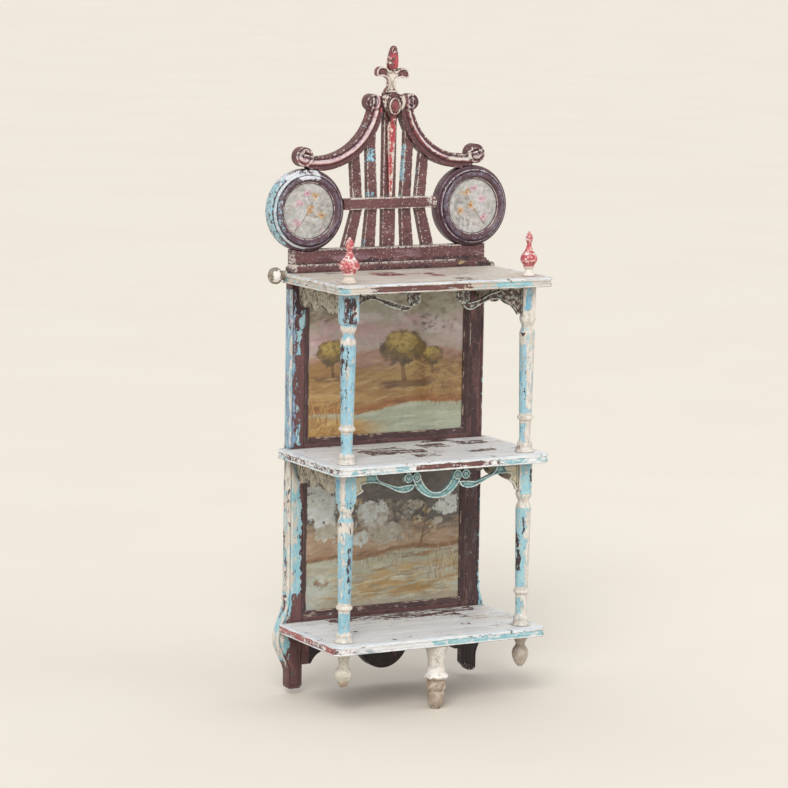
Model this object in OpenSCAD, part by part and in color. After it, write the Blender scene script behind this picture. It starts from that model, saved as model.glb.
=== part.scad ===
// Painted wooden wall rack: three shelves on turned columns, two glass panels and a carved crest.
// X runs to the right, the front faces -Y, the wall is the plane y = 0 and +Z is up.
// The origin lies on the wall, midway between the two hanging holes.

/* [Shelves] */
// Width of a shelf
shelf_w = 414; // [390:1:480]
// Depth of a shelf, from the wall to its front edge
shelf_d = 231; // [210:1:270]
// Thickness of a shelf board
shelf_t = 16; // [14:1:20]
// Height from the upper face of one shelf to the next
shelf_pitch = 305; // [280:1:360]
// Length cut off a shelf's front corner
front_clip = 9; // [5:1:14]
// Length cut off the top shelf's rear corner
rear_clip = 16; // [12:1:18]
// Length cut off the middle shelf's rear corner
ear_clip = 5; // [2:0.5:8]
// Width of the lowered border round a shelf's upper face
border_w = 9; // [5:0.5:12]
// Distance from the shelf's side edge to the frame
side_overhang = 15; // [13:1:20]

/* [Frame] */
// Thickness of the stiles and rails
frame_t = 20; // [17:1:26]
// Width of a stile
stile_w = 29; // [26:1:36]
// Height of the top rail
top_rail_h = 16; // [14:1:26]
// Height of a rail that shows above its shelf
rail_reveal = 7; // [4:1:14]
// Height of a rail below the underside of its shelf
rail_skirt = 16; // [14:1:26]
// Length of a rail's tenon
tenon_l = 14; // [10:1:18]
// Thickness of a rail's tenon
tenon_t = 6; // [4:1:7]
// Drop of the stile's foot below the upper face of the bottom shelf
foot_drop = 118; // [110:1:140]
// Distance that the foot's scroll swells beyond the stile
foot_swell = 19; // [12:1:22]
// Corner cut off the inner side of the left foot
left_foot_cut = 4; // [1:0.5:12]
// Corner cut off the inner side of the right foot
right_foot_cut = 13; // [1:0.5:16]
// Drop of the bottom rail's centre below the upper face of the bottom shelf
centre_drop = 97; // [90:1:105]

/* [Glass panels] */
// Width of the moulding round a pane
moulding_w = 10; // [8:1:14]
// Thickness of the moulding round a pane
moulding_t = 7; // [6:0.5:8]
// Thickness of a pane
pane_t = 3; // [2:0.5:3]
// Thickness of a backboard
backboard_t = 4; // [3:0.5:4]
// Diameter of a backboard pin
pin_d = 1.6; // [1.2:0.1:2]

/* [Columns] */
// Side of a left column's square block
left_block_s = 27; // [24:1:31]
// Side of a right column's square block
right_block_s = 23; // [20:1:28]
// Turn of the right columns' blocks about their axis, in degrees
right_block_turn = 14; // [0:1:18]
// Height of a column's square block
block_h = 52; // [44:1:60]
// Distance from the shelf's side edge to a column's axis
column_side = 33; // [30:1:38]
// Distance from the shelf's front edge to a column's axis
column_front = 34; // [30:1:40]
// Radius at the top of the tapering shaft
shaft_top_r = 13.5; // [11.5:0.5:14]
// Radius at the foot of the tapering shaft
shaft_foot_r = 11; // [9:0.5:12]
// Diameter of the pegs that join turned pieces to the shelves
peg_d = 10; // [7:0.5:12]
// Length of a peg
peg_l = 6; // [4:0.5:6.5]

/* [Turned ornaments] */
// Height of a finial on the top shelf
finial_h = 77; // [66:1:95]
// Radius of the left finial's bulb
left_finial_r = 17.5; // [14:0.5:20]
// Radius of the right finial's bulb
right_finial_r = 14.5; // [12.5:0.5:18]
// Length of the left pendant
left_pendant_l = 62; // [54:1:80]
// Length of the right pendant
right_pendant_l = 58; // [50:1:76]
// Length of the centre pendant
centre_pendant_l = 112; // [95:1:130]
// Radius of the centre pendant's collar
centre_pendant_r = 20; // [16:0.5:20]
// Distance from the shelf's front edge to the centre pendant's axis
centre_pendant_front = 22; // [21:1:34]

/* [Aprons] */
// Thickness of an apron
apron_t = 8; // [6:0.5:11]
// Height of the strip that an apron hangs from
apron_strip_h = 5; // [4:0.5:8]
// Drop of the front aprons at a right column
bracket_drop = 50; // [44:1:54]
// Drop of the lower front apron at its left column
left_bracket_drop = 42; // [40:1:54]
// Drop of the upper front apron at its left column
short_bracket_drop = 22; // [18:1:30]
// Drop of the side apron's scallops
scallop_drop = 41; // [36:1:50]

/* [Crest] */
// Height of the crest's base rail
base_rail_h = 39; // [34:1:50]
// Distance from the stile's outer face to the end of the base rail
base_rail_inset = 3; // [0:1:8]
// Height of the plinth moulding
plinth_h = 14; // [10:1:18]
// Distance that the plinth moulding stands out
plinth_out = 6.5; // [4:0.5:8]
// Diameter of a roundel's disc
roundel_d = 142; // [124:1:150]
// Distance from the end of the base rail to a roundel's axis
roundel_inset = 27; // [20:1:34]
// Depth that a roundel sinks into the base rail
roundel_sink = 4; // [3:0.5:8]
// Radius of a roundel's visible glass
roundel_sight_r = 47.5; // [40:0.5:49]
// Width of a roundel's moulded ring
roundel_ring_w = 19; // [17:0.5:21]
// Height that the ring stands in front of its disc
roundel_ring_h = 9; // [7:0.5:12]
// Width of a scroll arm
arm_w = 25; // [20:1:28]
// Radius of a scroll arm's lower volute
lower_volute_r = 17; // [15:0.5:19]
// Radius of a scroll arm's upper volute
upper_volute_r = 14.5; // [13:0.5:16]
// Width of the centre slat
centre_slat_w = 25; // [22:1:27]
// Width of the other slats
slat_w = 19; // [15:1:20]
// Thickness of a slat
slat_t = 13; // [10:0.5:14]
// Distance of the inner slats from the centre, at the cross rail
inner_slat_x = 33; // [31:1:36]
// Distance of the outer slats from the centre, at the cross rail
outer_slat_x = 62; // [58:1:66]
// Height of the cross rail
cross_rail_h = 20; // [16:1:26]
// Thickness of the cross rail
cross_rail_t = 6; // [4:0.5:8]
// Height of the fleur that tops the crest
fleur_h = 81; // [70:1:100]
// Width of the fleur across its leaves
fleur_w = 64; // [54:1:76]
// Lean of the fleur to the right, in degrees
fleur_lean = 4; // [0:0.5:6]

/* [Side knobs] */
// Radius of a side knob's neck
knob_neck_r = 10; // [8:0.5:11]
// Radius of the left side knob
knob_r = 14.5; // [12:0.5:17]
// Length of the left side knob
knob_l = 32; // [26:0.5:36]
// Length of the bare neck on the right side
stub_l = 8; // [6:0.5:12]

/* [Fixings] */
// Distance from the top shelf's upper face down to the hanging holes
hang_drop = 80; // [76:1:100]
// Diameter of a hanging hole
hang_hole_d = 7; // [5:0.5:8]
// Depth of the pocket behind a hanging hole
hang_pocket = 9; // [6:0.5:10]
// Width of a hanging plate
hanger_w = 18; // [16:1:22]
// Height of a hanging plate
hanger_h = 52; // [48:1:60]
// Thickness of a hanging plate
hanger_t = 2; // [1.5:0.5:3]
// Diameter of a frame screw
screw_d = 4; // [3:0.5:5]
// Depth that a frame screw reaches into the piece it holds
screw_bite = 22; // [16:1:26]

/* [Hidden] */

$fn = 64;
// Clearance round a peg, a tenon or a screw
fit = 0.1;
// Length by which a cut runs past the face it opens
over = 1;

// Heights of the shelves' upper faces
top_z = hang_drop;
mid_z = top_z - shelf_pitch;
low_z = top_z - 2 * shelf_pitch;
bay_h = shelf_pitch - shelf_t;

// The frame
frame_x = shelf_w / 2 - side_overhang;
inner_x = frame_x - stile_w;
stile_top = top_z - shelf_t;
stile_mid_x = frame_x - stile_w / 2;
rail_mid_y = -frame_t / 2;
// Shoulder between a rail's edge and its tenon
tenon_shoulder = 3;
foot_z = low_z - foot_drop;

// The columns
column_x = shelf_w / 2 - column_side;
column_y = -(shelf_d - column_front);

// The glass panels, measured from the wall
moulding_back = frame_t - moulding_t;
pane_back = moulding_back - pane_t;
backboard_back = pane_back - backboard_t;
pane_gap = 1;
opening_h = shelf_pitch - shelf_t - top_rail_h - rail_reveal;
lower_opening_h = shelf_pitch - shelf_t - rail_skirt - rail_reveal;

// The crest
base_x = frame_x - base_rail_inset;
base_top = top_z + base_rail_h;
roundel_r = roundel_d / 2;
roundel_x = base_x - roundel_inset;
roundel_z = base_top + roundel_r - roundel_sink;
ring_r = roundel_sight_r + roundel_ring_w;
// A scroll arm is an arc that rises from the roundel to the centre
arm_centre_x = roundel_x - 22;
arm_r = arm_centre_x - 27;
arm_in_r = arm_r - arm_w / 2;
arm_out_r = arm_r + arm_w / 2;
arm_overlap = 4;
arm_centre_z = roundel_z + roundel_r + arm_out_r - arm_overlap;
arm_cut_x = centre_slat_w / 2;
cross_rail_rise = 9;
cross_rail_z = roundel_z + cross_rail_rise;
cartouche_top = 23;
cartouche_z = arm_centre_z - 16;
crest_top_z = cartouche_z + cartouche_top;

// Point on a cubic curve
function bezier_point(a, b, c, d, t) =
    pow(1 - t, 3) * a + 3 * pow(1 - t, 2) * t * b + 3 * (1 - t) * t * t * c + pow(t, 3) * d;
// Cubic curve of n steps, without its last point
function bezier(a, b, c, d, n = 8) = [for (i = [0:n - 1]) bezier_point(a, b, c, d, i / n)];
// Arc of an ellipse, in degrees
function ellipse_arc(cx, cz, rx, rz, from, to, n = 12) =
    [for (i = [0:n]) let (a = from + (to - from) * i / n) [cx + rx * cos(a), cz + rz * sin(a)]];
// The same points, mirrored left to right and in reverse order
function mirrored(points) = [for (i = [len(points) - 1:-1:0]) [-points[i][0], points[i][1]]];

// Flat piece parallel to the wall: its rear face is back from the wall and it is t thick
module upright(back, t) {
    translate([0, -back, 0]) rotate([90, 0, 0]) linear_extrude(t) children();
}

// Turned piece whose axis points away from the wall
module turned_forward(x, z, back) {
    translate([x, -back, z]) rotate([90, 0, 0]) rotate_extrude() children();
}

// Both the left and the right copy of a piece
module both_sides() {
    children();
    mirror([1, 0, 0]) children();
}

// Countersunk screw that starts at z = 0 and points up
module screw(l, d, gap = 0) {
    translate([0, 0, -gap]) cylinder(d1 = 2 * d + 2 * gap, d2 = d + 2 * gap, h = 0.6 * d + gap);
    cylinder(d = d + 2 * gap, h = l + gap);
}

// Places of the screws that hold the shelves to the rails, seen from behind
screw_x = inner_x * 0.65;
module rail_screw(z, gap = 0) {
    both_sides() translate([screw_x, 0, z]) rotate([90, 0, 0]) screw(frame_t + screw_bite, screw_d, gap);
}
module crest_screw(gap = 0) {
    both_sides() translate([screw_x, rail_mid_y, stile_top - top_rail_h])
        screw(top_rail_h + shelf_t + screw_bite, screw_d, gap);
}

// Outline of a stile with its scrolled foot, on the right-hand side
collar_z = low_z + 39;
collar_h = 5;
collar_out = 2.5;
function foot_outer() = concat(
    [[frame_x, collar_z + collar_h], [frame_x + collar_out, collar_z + collar_h],
        [frame_x + collar_out, collar_z]],
    bezier([frame_x, collar_z], [frame_x + 3, collar_z - 25],
        [frame_x + foot_swell, low_z - 10], [frame_x + foot_swell, low_z - 30]),
    bezier([frame_x + foot_swell, low_z - 30], [frame_x + foot_swell, low_z - 50],
        [frame_x - 2, low_z - 72], [frame_x - 3, low_z - 90]),
    [[frame_x - 3, low_z - 90]]);
foot_step = 2;
module stile_outline(inner_cut) {
    polygon(concat([[inner_x, stile_top], [frame_x, stile_top]], foot_outer(),
        [[frame_x - 3, foot_z + 4], [frame_x - 7, foot_z],
            [inner_x - foot_step + inner_cut, foot_z],
            [inner_x - foot_step, foot_z + 1.1 * inner_cut],
            [inner_x - foot_step, bottom_rail_z[0] - lobe_h], [inner_x, bottom_rail_z[0] - lobe_h]]));
}

// Tenon at a rail's right-hand end, or the mortise for it where gap is given
module tenon(z_low, z_high, gap = 0) {
    translate([inner_x - over, rail_mid_y - tenon_t / 2 - gap, z_low + tenon_shoulder - gap])
        cube([tenon_l + over + gap, tenon_t + 2 * gap, z_high - z_low - 2 * tenon_shoulder + 2 * gap]);
}
top_rail_z = [stile_top - top_rail_h, stile_top];
middle_rail_z = [mid_z - shelf_t - rail_skirt, mid_z + rail_reveal];
bottom_rail_z = [low_z - shelf_t - rail_skirt, low_z + rail_reveal];

// Heights of the backboard pins within an opening
function pin_heights(z_low, h) = [for (share = [0.12, 0.5, 0.88]) z_low + share * h];
function all_pin_heights() =
    concat(pin_heights(middle_rail_z[1], opening_h), pin_heights(bottom_rail_z[1], lower_opening_h));
pin_in = 6;
pin_out = 6;
module backboard_pin(z, gap = 0) {
    translate([inner_x - pin_out, -(backboard_back - pin_d / 2), z]) rotate([0, 90, 0])
        cylinder(d = pin_d + 2 * gap, h = pin_out + pin_in + gap);
}

// Hanging plate on the right-hand stile, and its two screws
hanger_screw_z = hanger_h / 2 - 7;
hanger_screw_d = 3;
hanger_screw_l = 12;
module hanger_screw_pair(gap = 0) {
    for (side = [-1, 1])
        translate([stile_mid_x, 0, side * hanger_screw_z]) rotate([90, 0, 0])
            screw(hanger_screw_l, hanger_screw_d, gap);
}

// Bead line cut along the stile's outer front edge
bead_w = 4;
bead_cut = 1.5;
module stile(inner_cut) {
    color("sienna") difference() {
        upright(0, frame_t) stile_outline(inner_cut);
        tenon(top_rail_z[0], top_rail_z[1], fit);
        tenon(middle_rail_z[0], middle_rail_z[1], fit);
        tenon(bottom_rail_z[0], bottom_rail_z[1], fit);
        for (z = all_pin_heights()) backboard_pin(z, 0);
        translate([frame_x - bead_w - bead_cut, -frame_t - over, collar_z + collar_h])
            cube([bead_cut, bead_cut + over, stile_top - collar_z]);
        translate([stile_mid_x - hanger_w / 2, -hanger_t, -hanger_h / 2])
            cube([hanger_w, hanger_t + over, hanger_h]);
        translate([stile_mid_x, over, 0]) rotate([90, 0, 0])
            cylinder(d = hang_hole_d + 5, h = hang_pocket + hanger_t + over);
        hanger_screw_pair(0);
    }
}
module right_stile() { stile(right_foot_cut); }
module left_stile() { mirror([1, 0, 0]) stile(left_foot_cut); }

// Plain rail between the stiles
module rail_board(z_low, z_high) {
    translate([-inner_x, -frame_t, z_low]) cube([2 * inner_x, frame_t, z_high - z_low]);
    both_sides() tenon(z_low, z_high);
}
module top_rail() {
    color("sienna") difference() {
        rail_board(top_rail_z[0], top_rail_z[1]);
        crest_screw(fit);
    }
}
module middle_rail() {
    color("sienna") difference() {
        rail_board(middle_rail_z[0], middle_rail_z[1]);
        rail_screw(mid_z - shelf_t / 2, fit);
    }
}

// Lower edge of the bottom rail: a lobe beside each foot and a rounded drop at the centre
lobe_w = 18;
lobe_h = 44;
cove_w = 17;
centre_w = 54;
centre_h = centre_drop - shelf_t - rail_skirt;
function lobe_edge() =
    let (x = inner_x - lobe_w, z = bottom_rail_z[0], low = z - lobe_h + 3.5)
    concat([[inner_x, z - lobe_h], [x, z - lobe_h]],
        bezier([x - 2.5, low], [x - 4, low + 4], [x - 10, z - 29], [x - cove_w, z - 26]),
        bezier([x - cove_w, z - 26], [x - cove_w - 8, z - 23], [x - cove_w - 12, z - 12],
            [x - cove_w - 13, z]),
        [[x - cove_w - 13, z]]);
function scalloped_edge() = concat(lobe_edge(),
    ellipse_arc(0, bottom_rail_z[0], centre_w, centre_h, 360, 180, 20), mirrored(lobe_edge()));
module bottom_rail() {
    color("saddlebrown") difference() {
        union() {
            upright(0, frame_t) polygon(concat(
                [[-inner_x, bottom_rail_z[1]], [inner_x, bottom_rail_z[1]]], scalloped_edge()));
            both_sides() tenon(bottom_rail_z[0], bottom_rail_z[1]);
        }
        rail_screw(low_z - shelf_t / 2, fit);
    }
}

// Moulding strip along an opening's lower edge, length l, highest along its outer edge at z = 0
moulding_lip = 2;
module moulding_strip(l) {
    w = moulding_w;
    translate([-l / 2, 0, 0]) rotate([90, 0, 90]) linear_extrude(l)
        polygon([[-moulding_back, 0], [-moulding_back, w], [-moulding_back - moulding_lip, w],
            [-moulding_back - moulding_t * 0.57, w * 0.7], [-frame_t + moulding_t * 0.15, w * 0.4],
            [-frame_t, w * 0.3], [-frame_t, 0]]);
}
module moulding_frame(z_low, h) {
    both_sides() translate([inner_x, 0, z_low + h / 2]) rotate([0, -90, 0]) moulding_strip(h);
    for (side = [0, 1])
        translate([0, 0, z_low + side * h]) mirror([0, 0, side]) moulding_strip(2 * inner_x);
}
module upper_moulding() { color("maroon") moulding_frame(middle_rail_z[1], opening_h); }
module lower_moulding() { color("maroon") moulding_frame(bottom_rail_z[1], lower_opening_h); }

// Sheet that fills an opening behind its moulding
module sheet(z_low, h, back, t) {
    translate([-inner_x + pane_gap, -back - t, z_low])
        cube([2 * (inner_x - pane_gap), t, h - pane_gap]);
}
module upper_pane() { color("darkkhaki") sheet(middle_rail_z[1], opening_h, pane_back, pane_t); }
module lower_pane() { color("tan") sheet(bottom_rail_z[1], lower_opening_h, pane_back, pane_t); }
module upper_backboard() {
    color("peru") sheet(middle_rail_z[1], opening_h, backboard_back, backboard_t);
}
module lower_backboard() {
    color("peru") sheet(bottom_rail_z[1], lower_opening_h, backboard_back, backboard_t);
}
module backboard_pins() {
    color("dimgray") for (z = all_pin_heights()) both_sides() backboard_pin(z);
}

// Plan of a shelf, drawn in from its moulded edge by inset. The ears reach back beside the frame.
function shelf_front(inset) =
    let (x = shelf_w / 2 - inset, y = shelf_d - inset, c = front_clip)
    [[x, -y + c], [x - c, -y], [-x + c, -y], [-x, -y + c]];
module shelf_plan(inset, rear) {
    x = shelf_w / 2 - inset;
    if (rear == "full")
        polygon(concat(shelf_front(inset), [[-x, -rear_clip], [-x + rear_clip, 0],
            [x - rear_clip, 0], [x, -rear_clip]]));
    if (rear == "ears") {
        c = min(ear_clip, side_overhang - inset - 2 * fit);
        polygon(concat(shelf_front(inset), [[-x, -c], [-x + c, 0], [-frame_x - fit, 0],
            [-frame_x - fit, -frame_t], [frame_x + fit, -frame_t], [frame_x + fit, 0],
            [x - c, 0], [x, -c]]));
    }
    if (rear == "plain")
        polygon(concat(shelf_front(inset), [[-x, -frame_t], [x, -frame_t]]));
}

// Steps of the moulded edge below the border: [height below the upper face, inset], in sixteenths
// of the shelf's thickness
edge_steps = [[0.6, 1.6], [1.4, 0.6], [2.6, 0.1], [4, 0.1], [5.2, 0.7], [5.9, 1.6], [11.6, 1],
    [12.4, 0.3], [16, 0]];
module shelf_board(z, rear) {
    steps = edge_steps * shelf_t / 16;
    translate([0, 0, z - steps[0][0]]) linear_extrude(steps[0][0]) shelf_plan(border_w, rear);
    for (i = [0:len(steps) - 2])
        translate([0, 0, z - steps[i + 1][0]]) linear_extrude(steps[i + 1][0] - steps[i][0])
            shelf_plan(steps[i][1], rear);
}
module column_places() {
    both_sides() translate([column_x, column_y, 0]) children();
}
module peg(l = peg_l, gap = 0) { cylinder(d = peg_d + 2 * gap, h = l + gap); }
module peg_up_holes(z) { column_places() translate([0, 0, z]) peg(peg_l, fit); }
module peg_down_holes(z) {
    column_places() translate([0, 0, z]) mirror([0, 0, 1]) peg(peg_l, fit);
}

// Side knobs: their axis, and the seat cut for them in the top shelf's ear
knob_y = -knob_r - 1;
knob_z = top_z - 4;
knob_seat_x = shelf_w / 2 - 6;
knob_peg_d = 5;
knob_peg_l = 12;
module knob_seat() {
    both_sides() translate([knob_seat_x, knob_y, knob_z]) rotate([0, 90, 0]) {
        cylinder(r = knob_neck_r + fit, h = 20);
        translate([0, 0, -knob_peg_l - fit]) cylinder(d = knob_peg_d + 2 * fit, h = knob_peg_l + 1);
    }
}
module top_shelf() {
    color("ivory") difference() {
        shelf_board(top_z, "full");
        peg_up_holes(top_z - shelf_t);
        peg_down_holes(top_z);
        knob_seat();
        crest_screw(fit);
    }
}
module middle_shelf() {
    color("ivory") difference() {
        shelf_board(mid_z, "ears");
        peg_up_holes(mid_z - shelf_t);
        peg_down_holes(mid_z);
        rail_screw(mid_z - shelf_t / 2, fit);
    }
}
module bottom_shelf() {
    color("ivory") difference() {
        shelf_board(low_z, "plain");
        peg_up_holes(low_z - shelf_t);
        peg_down_holes(low_z);
        rail_screw(low_z - shelf_t / 2, fit);
        translate([0, -(shelf_d - centre_pendant_front), low_z - shelf_t]) peg(peg_l, fit);
    }
}

// Turned column that hangs from z = 0 to -bay_h: block, cup, neck, tapering shaft, ring and foot
cup_r = 14;
cup_h = 18;
neck_r = 9.6;
shoulder_h = 14;
ring_r_out = 14;
ring_h = 9;
ring_up = 60;
foot_r = 17;
foot_h = 24;
neck_z = -block_h - cup_h;
shaft_top_z = neck_z - shoulder_h;
ring_z = -bay_h + ring_up;
// Profiles as points, each given as shares of a radius and of a height from z
function shares(points, r, z, h) = [for (p = points) [p[0] * r, z + p[1] * h]];
module column_turning() {
    rotate_extrude() polygon(concat([[0, -block_h + over]],
        shares([[0.89, 0], [0.98, -0.14], [1, -0.33], [0.94, -0.56], [0.81, -0.75]],
            cup_r, -block_h, cup_h),
        shares([[1.03, 0.1], [1, -0.07], [1.1, -0.28]], neck_r, neck_z, shoulder_h),
        shares([[0.91, 0.46], [0.985, 0.2], [1, 0]], shaft_top_r, shaft_top_z, shoulder_h),
        [[shaft_foot_r, ring_z + ring_h / 2]],
        shares([[0.9, 0.38], [1, 0.17], [1, -0.17], [0.9, -0.38], [0.74, -0.5]], ring_r_out, ring_z, ring_h),
        shares([[0.565, 1], [0.62, 0.79], [0.765, 0.67], [0.795, 0.5], [0.735, 0.42], [0.795, 0.25],
            [0.94, 0.12], [1, 0.06], [1, 0], [0, 0]], foot_r, -bay_h, foot_h)));
}
module block_prism(side, h) { translate([-side / 2, -side / 2, 0]) cube([side, side, h]); }
module column(z, side, turn) {
    color("turquoise") translate([column_x, column_y, z]) {
        intersection() {
            translate([0, 0, -block_h]) rotate([0, 0, -turn]) block_prism(side, block_h);
            rotate_extrude() polygon([[0, 0], [side * 0.68, 0], [side * 0.68, -block_h + 6],
                [side * 0.57, -block_h], [0, -block_h]]);
        }
        column_turning();
        peg(peg_l);
        translate([0, 0, -bay_h]) mirror([0, 0, 1]) peg(peg_l);
    }
}
module right_column(z) { column(z, right_block_s, right_block_turn); }
module left_column(z) { mirror([1, 0, 0]) column(z, left_block_s, 0); }
module upper_right_column() { right_column(top_z - shelf_t); }
module upper_left_column() { left_column(top_z - shelf_t); }
module lower_right_column() { right_column(mid_z - shelf_t); }
module lower_left_column() { left_column(mid_z - shelf_t); }

// Space of the two blocks below a shelf, for the aprons that end against them
module block_spaces(z) {
    translate([column_x, column_y, z - block_h]) rotate([0, 0, -right_block_turn])
        block_prism(right_block_s, block_h + over);
    translate([-column_x, column_y, z - block_h]) block_prism(left_block_s, block_h + over);
}

// Finial on the top shelf, over a column: foot, bulb and knop
module finial(r) {
    color("indianred") translate([column_x, column_y, top_z]) {
        rotate_extrude() polygon(shares([[0, 0], [0.75, 0], [0.76, 0.02], [0.63, 0.065], [0.5, 0.11],
            [0.46, 0.15], [0.5, 0.17], [0.64, 0.19], [0.67, 0.21], [0.64, 0.23], [0.6, 0.24],
            [0.88, 0.3], [1, 0.35], [1, 0.4], [0.86, 0.47], [0.52, 0.56], [0.32, 0.65], [0.26, 0.71],
            [0.26, 0.74], [0.38, 0.78], [0.42, 0.84], [0.35, 0.91], [0.2, 0.96], [0.06, 1], [0, 1]],
            r, 0, finial_h));
        mirror([0, 0, 1]) peg(peg_l);
    }
}
module right_finial() { finial(right_finial_r); }
module left_finial() { mirror([1, 0, 0]) finial(left_finial_r); }

// Pendants below the bottom shelf
left_pendant_r = 15;
right_pendant_r = 14.5;
module pendant(x, y, r, l, points) {
    color("wheat") translate([x, y, low_z - shelf_t]) {
        rotate_extrude() polygon(shares(points, r, 0, l));
        peg(peg_l);
    }
}
module left_pendant() {
    pendant(-column_x, column_y, left_pendant_r, left_pendant_l,
        concat([[0, 0], [0.93, 0], [0.9, -0.065], [0.73, -0.13], [0.6, -0.23], [0.57, -0.32],
            [0.57, -0.39]], ellipse_arc(0, -0.625, 1, 0.242, 50, -50, 12),
            [[0.6, -0.815], [0.57, -0.9], [0.33, -0.985], [0, -1]]));
}
module right_pendant() {
    pendant(column_x, column_y, right_pendant_r, right_pendant_l,
        [[0, 0], [1, 0], [0.97, -0.07], [0.76, -0.17], [0.55, -0.29], [0.52, -0.31], [0.62, -0.36],
            [0.9, -0.465], [1, -0.57], [0.93, -0.71], [0.62, -0.88], [0.28, -0.985], [0, -1]]);
}
module centre_pendant() {
    pendant(0, -(shelf_d - centre_pendant_front), centre_pendant_r, centre_pendant_l,
        [[0, 0], [1, 0], [0.975, -0.045], [0.85, -0.125], [0.75, -0.215], [0.725, -0.32],
            [0.775, -0.43], [0.93, -0.46], [1.02, -0.475], [1.06, -0.495], [1.02, -0.515],
            [0.93, -0.53], [0.75, -0.555], [0.85, -0.61], [0.875, -0.68], [0.7, -0.73],
            [0.75, -0.77], [0.65, -0.89], [0.475, -0.975], [0.425, -1], [0, -1]]);
}

// Front aprons hang from a strip below a shelf and end against the columns' blocks.
// Each half is drawn on a grid of 174 by 50 units, from the centre to a column's axis and from the
// shelf to the foot of a right bracket, and spread to the real column and drop.
apron_back = -column_y - apron_t / 2;
function spread(points) = [for (p = points) [p[0] * column_x / 174, p[1] * bracket_drop / 50]];
function drop_at(h) = -min(h, block_h - 2) * 50 / bracket_drop;
module front_apron(z) {
    color("rosybrown") difference() {
        translate([0, 0, z]) {
            upright(apron_back, apron_t)
                translate([-column_x, -apron_strip_h]) square([2 * column_x, apron_strip_h]);
            for (i = [0:$children - 1]) upright(apron_back, apron_t) children(i);
        }
        block_spaces(z);
    }
}
module round_spot(x, z, r) { polygon(spread(ellipse_arc(x, z, r, r, 0, 345, 23))); }
// Flower of six petals round an eye
module flower(x, z, r) {
    round_spot(x, z, r * 0.62);
    for (a = [30:60:330]) round_spot(x + r * 0.6 * cos(a), z + r * 0.6 * sin(a), r * 0.4);
}
// Right half of the upper apron: deep bracket, arch and lobe with a flower
module upper_apron_right() {
    low = drop_at(bracket_drop);
    polygon(spread(concat([[174, 0], [174, low], [153, low]],
        bezier([153, low], [149, low + 8], [133, -22], [109, -21]),
        bezier([109, -21], [96, -21], [84, -26], [71, -33], 6),
        bezier([71, -33], [64, -38], [56, -39], [50, -35], 5),
        bezier([50, -35], [46, -32], [44, -28], [43, -23], 3),
        bezier([43, -23], [54, -27], [66, -24], [75, -21], 4),
        bezier([75, -21], [86, -17], [98, -9], [116, -7], 5),
        [[116, -7], [126, 0]])));
    flower(45, -14, 13);
}
// Left half of the upper apron, drawn to the right: short bracket, arch and lobe with a flower
module upper_apron_left() {
    low = drop_at(short_bracket_drop);
    polygon(spread(concat([[174, 0], [174, low], [156, low]],
        bezier([156, low], [152, low], [149, -13], [134, -13], 6),
        bezier([134, -13], [120, -13], [114, -20], [104, -24], 6),
        bezier([104, -24], [94, -28], [86, -30], [77, -33], 4),
        bezier([77, -33], [68, -37], [57, -34], [53, -25], 5),
        bezier([53, -25], [60, -27], [67, -25], [79, -22], 4),
        bezier([79, -22], [90, -19], [104, -12], [121, -9], 5),
        [[121, -9], [130, 0]])));
    flower(50, -13, 13);
}
module upper_front_apron() {
    front_apron(top_z - shelf_t) {
        upper_apron_right();
        mirror([1, 0]) upper_apron_left();
    }
}

// Half of the lower apron: hooked bracket, arch, lobe, two eyes and half a swag
module lower_apron_half(drop) {
    low = drop_at(drop);
    polygon(spread(concat([[174, 0], [174, low], [157, low]],
        bezier([157, low], [155, low + 5], [153, -38], [149, -36], 4),
        bezier([149, -36], [146, -34], [144, -33], [142, -31], 2),
        bezier([142, -31], [146, -29], [148, -25], [147, -21], 4),
        bezier([147, -21], [140, -18], [125, -18], [116, -20], 5),
        bezier([116, -20], [106, -22], [100, -26], [92, -29.5], 4),
        bezier([92, -29.5], [84, -33], [77, -39.5], [63, -39.5], 5),
        bezier([63, -39.5], [52, -39], [45, -35], [44, -27], 5),
        bezier([44, -27], [54, -24], [66, -29], [76, -28.5], 4),
        bezier([76, -28.5], [88, -26], [98, -21], [108, -18], 4),
        bezier([108, -18], [113, -16], [116, -12], [120, 0], 4),
        [[120, 0]])));
    for (x = [40, 56]) {
        round_spot(x, -15, 8.2);
        polygon(spread([[x - 3, -15], [x + 3, -15], [x + 3, 0], [x - 3, 0]]));
    }
    polygon(spread(concat(
        bezier([46, -21], [40, -38], [22, -53], [0, -53], 12),
        [[0, -53], [0, -43]],
        bezier([0, -43], [12, -43], [23, -35], [31, -17], 12),
        [[31, -17]])));
}
module lower_front_apron() {
    front_apron(mid_z - shelf_t) {
        lower_apron_half(bracket_drop);
        mirror([1, 0]) lower_apron_half(left_bracket_drop);
    }
}

// Side apron from the frame to a column's block: three scallops that widen towards the front
scallop_ends = [0, 0.23, 0.49, 1];
scallop_depth = 11;
function scallop(i, l) =
    let (a = scallop_ends[i] * l, w = (scallop_ends[i + 1] - scallop_ends[i]) * l)
    [for (k = [0:11]) [a + w * (1 - cos(15 * k)) / 2, -scallop_drop + scallop_depth * (1 - sin(15 * k))]];
module side_apron(z, block_side) {
    l = -column_y - block_side / 2 - frame_t;
    translate([column_x + apron_t / 2, -frame_t, z]) rotate([90, 0, -90]) linear_extrude(apron_t)
        polygon(concat([[-column_y - frame_t, 0], [0, 0]], scallop(0, l), scallop(1, l), scallop(2, l),
            [[l, -scallop_drop + scallop_depth],
                [-column_y - frame_t, -scallop_drop + scallop_depth]]));
}
module right_side_apron(z) {
    color("rosybrown") difference() {
        side_apron(z, right_block_s);
        block_spaces(z);
    }
}
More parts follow.
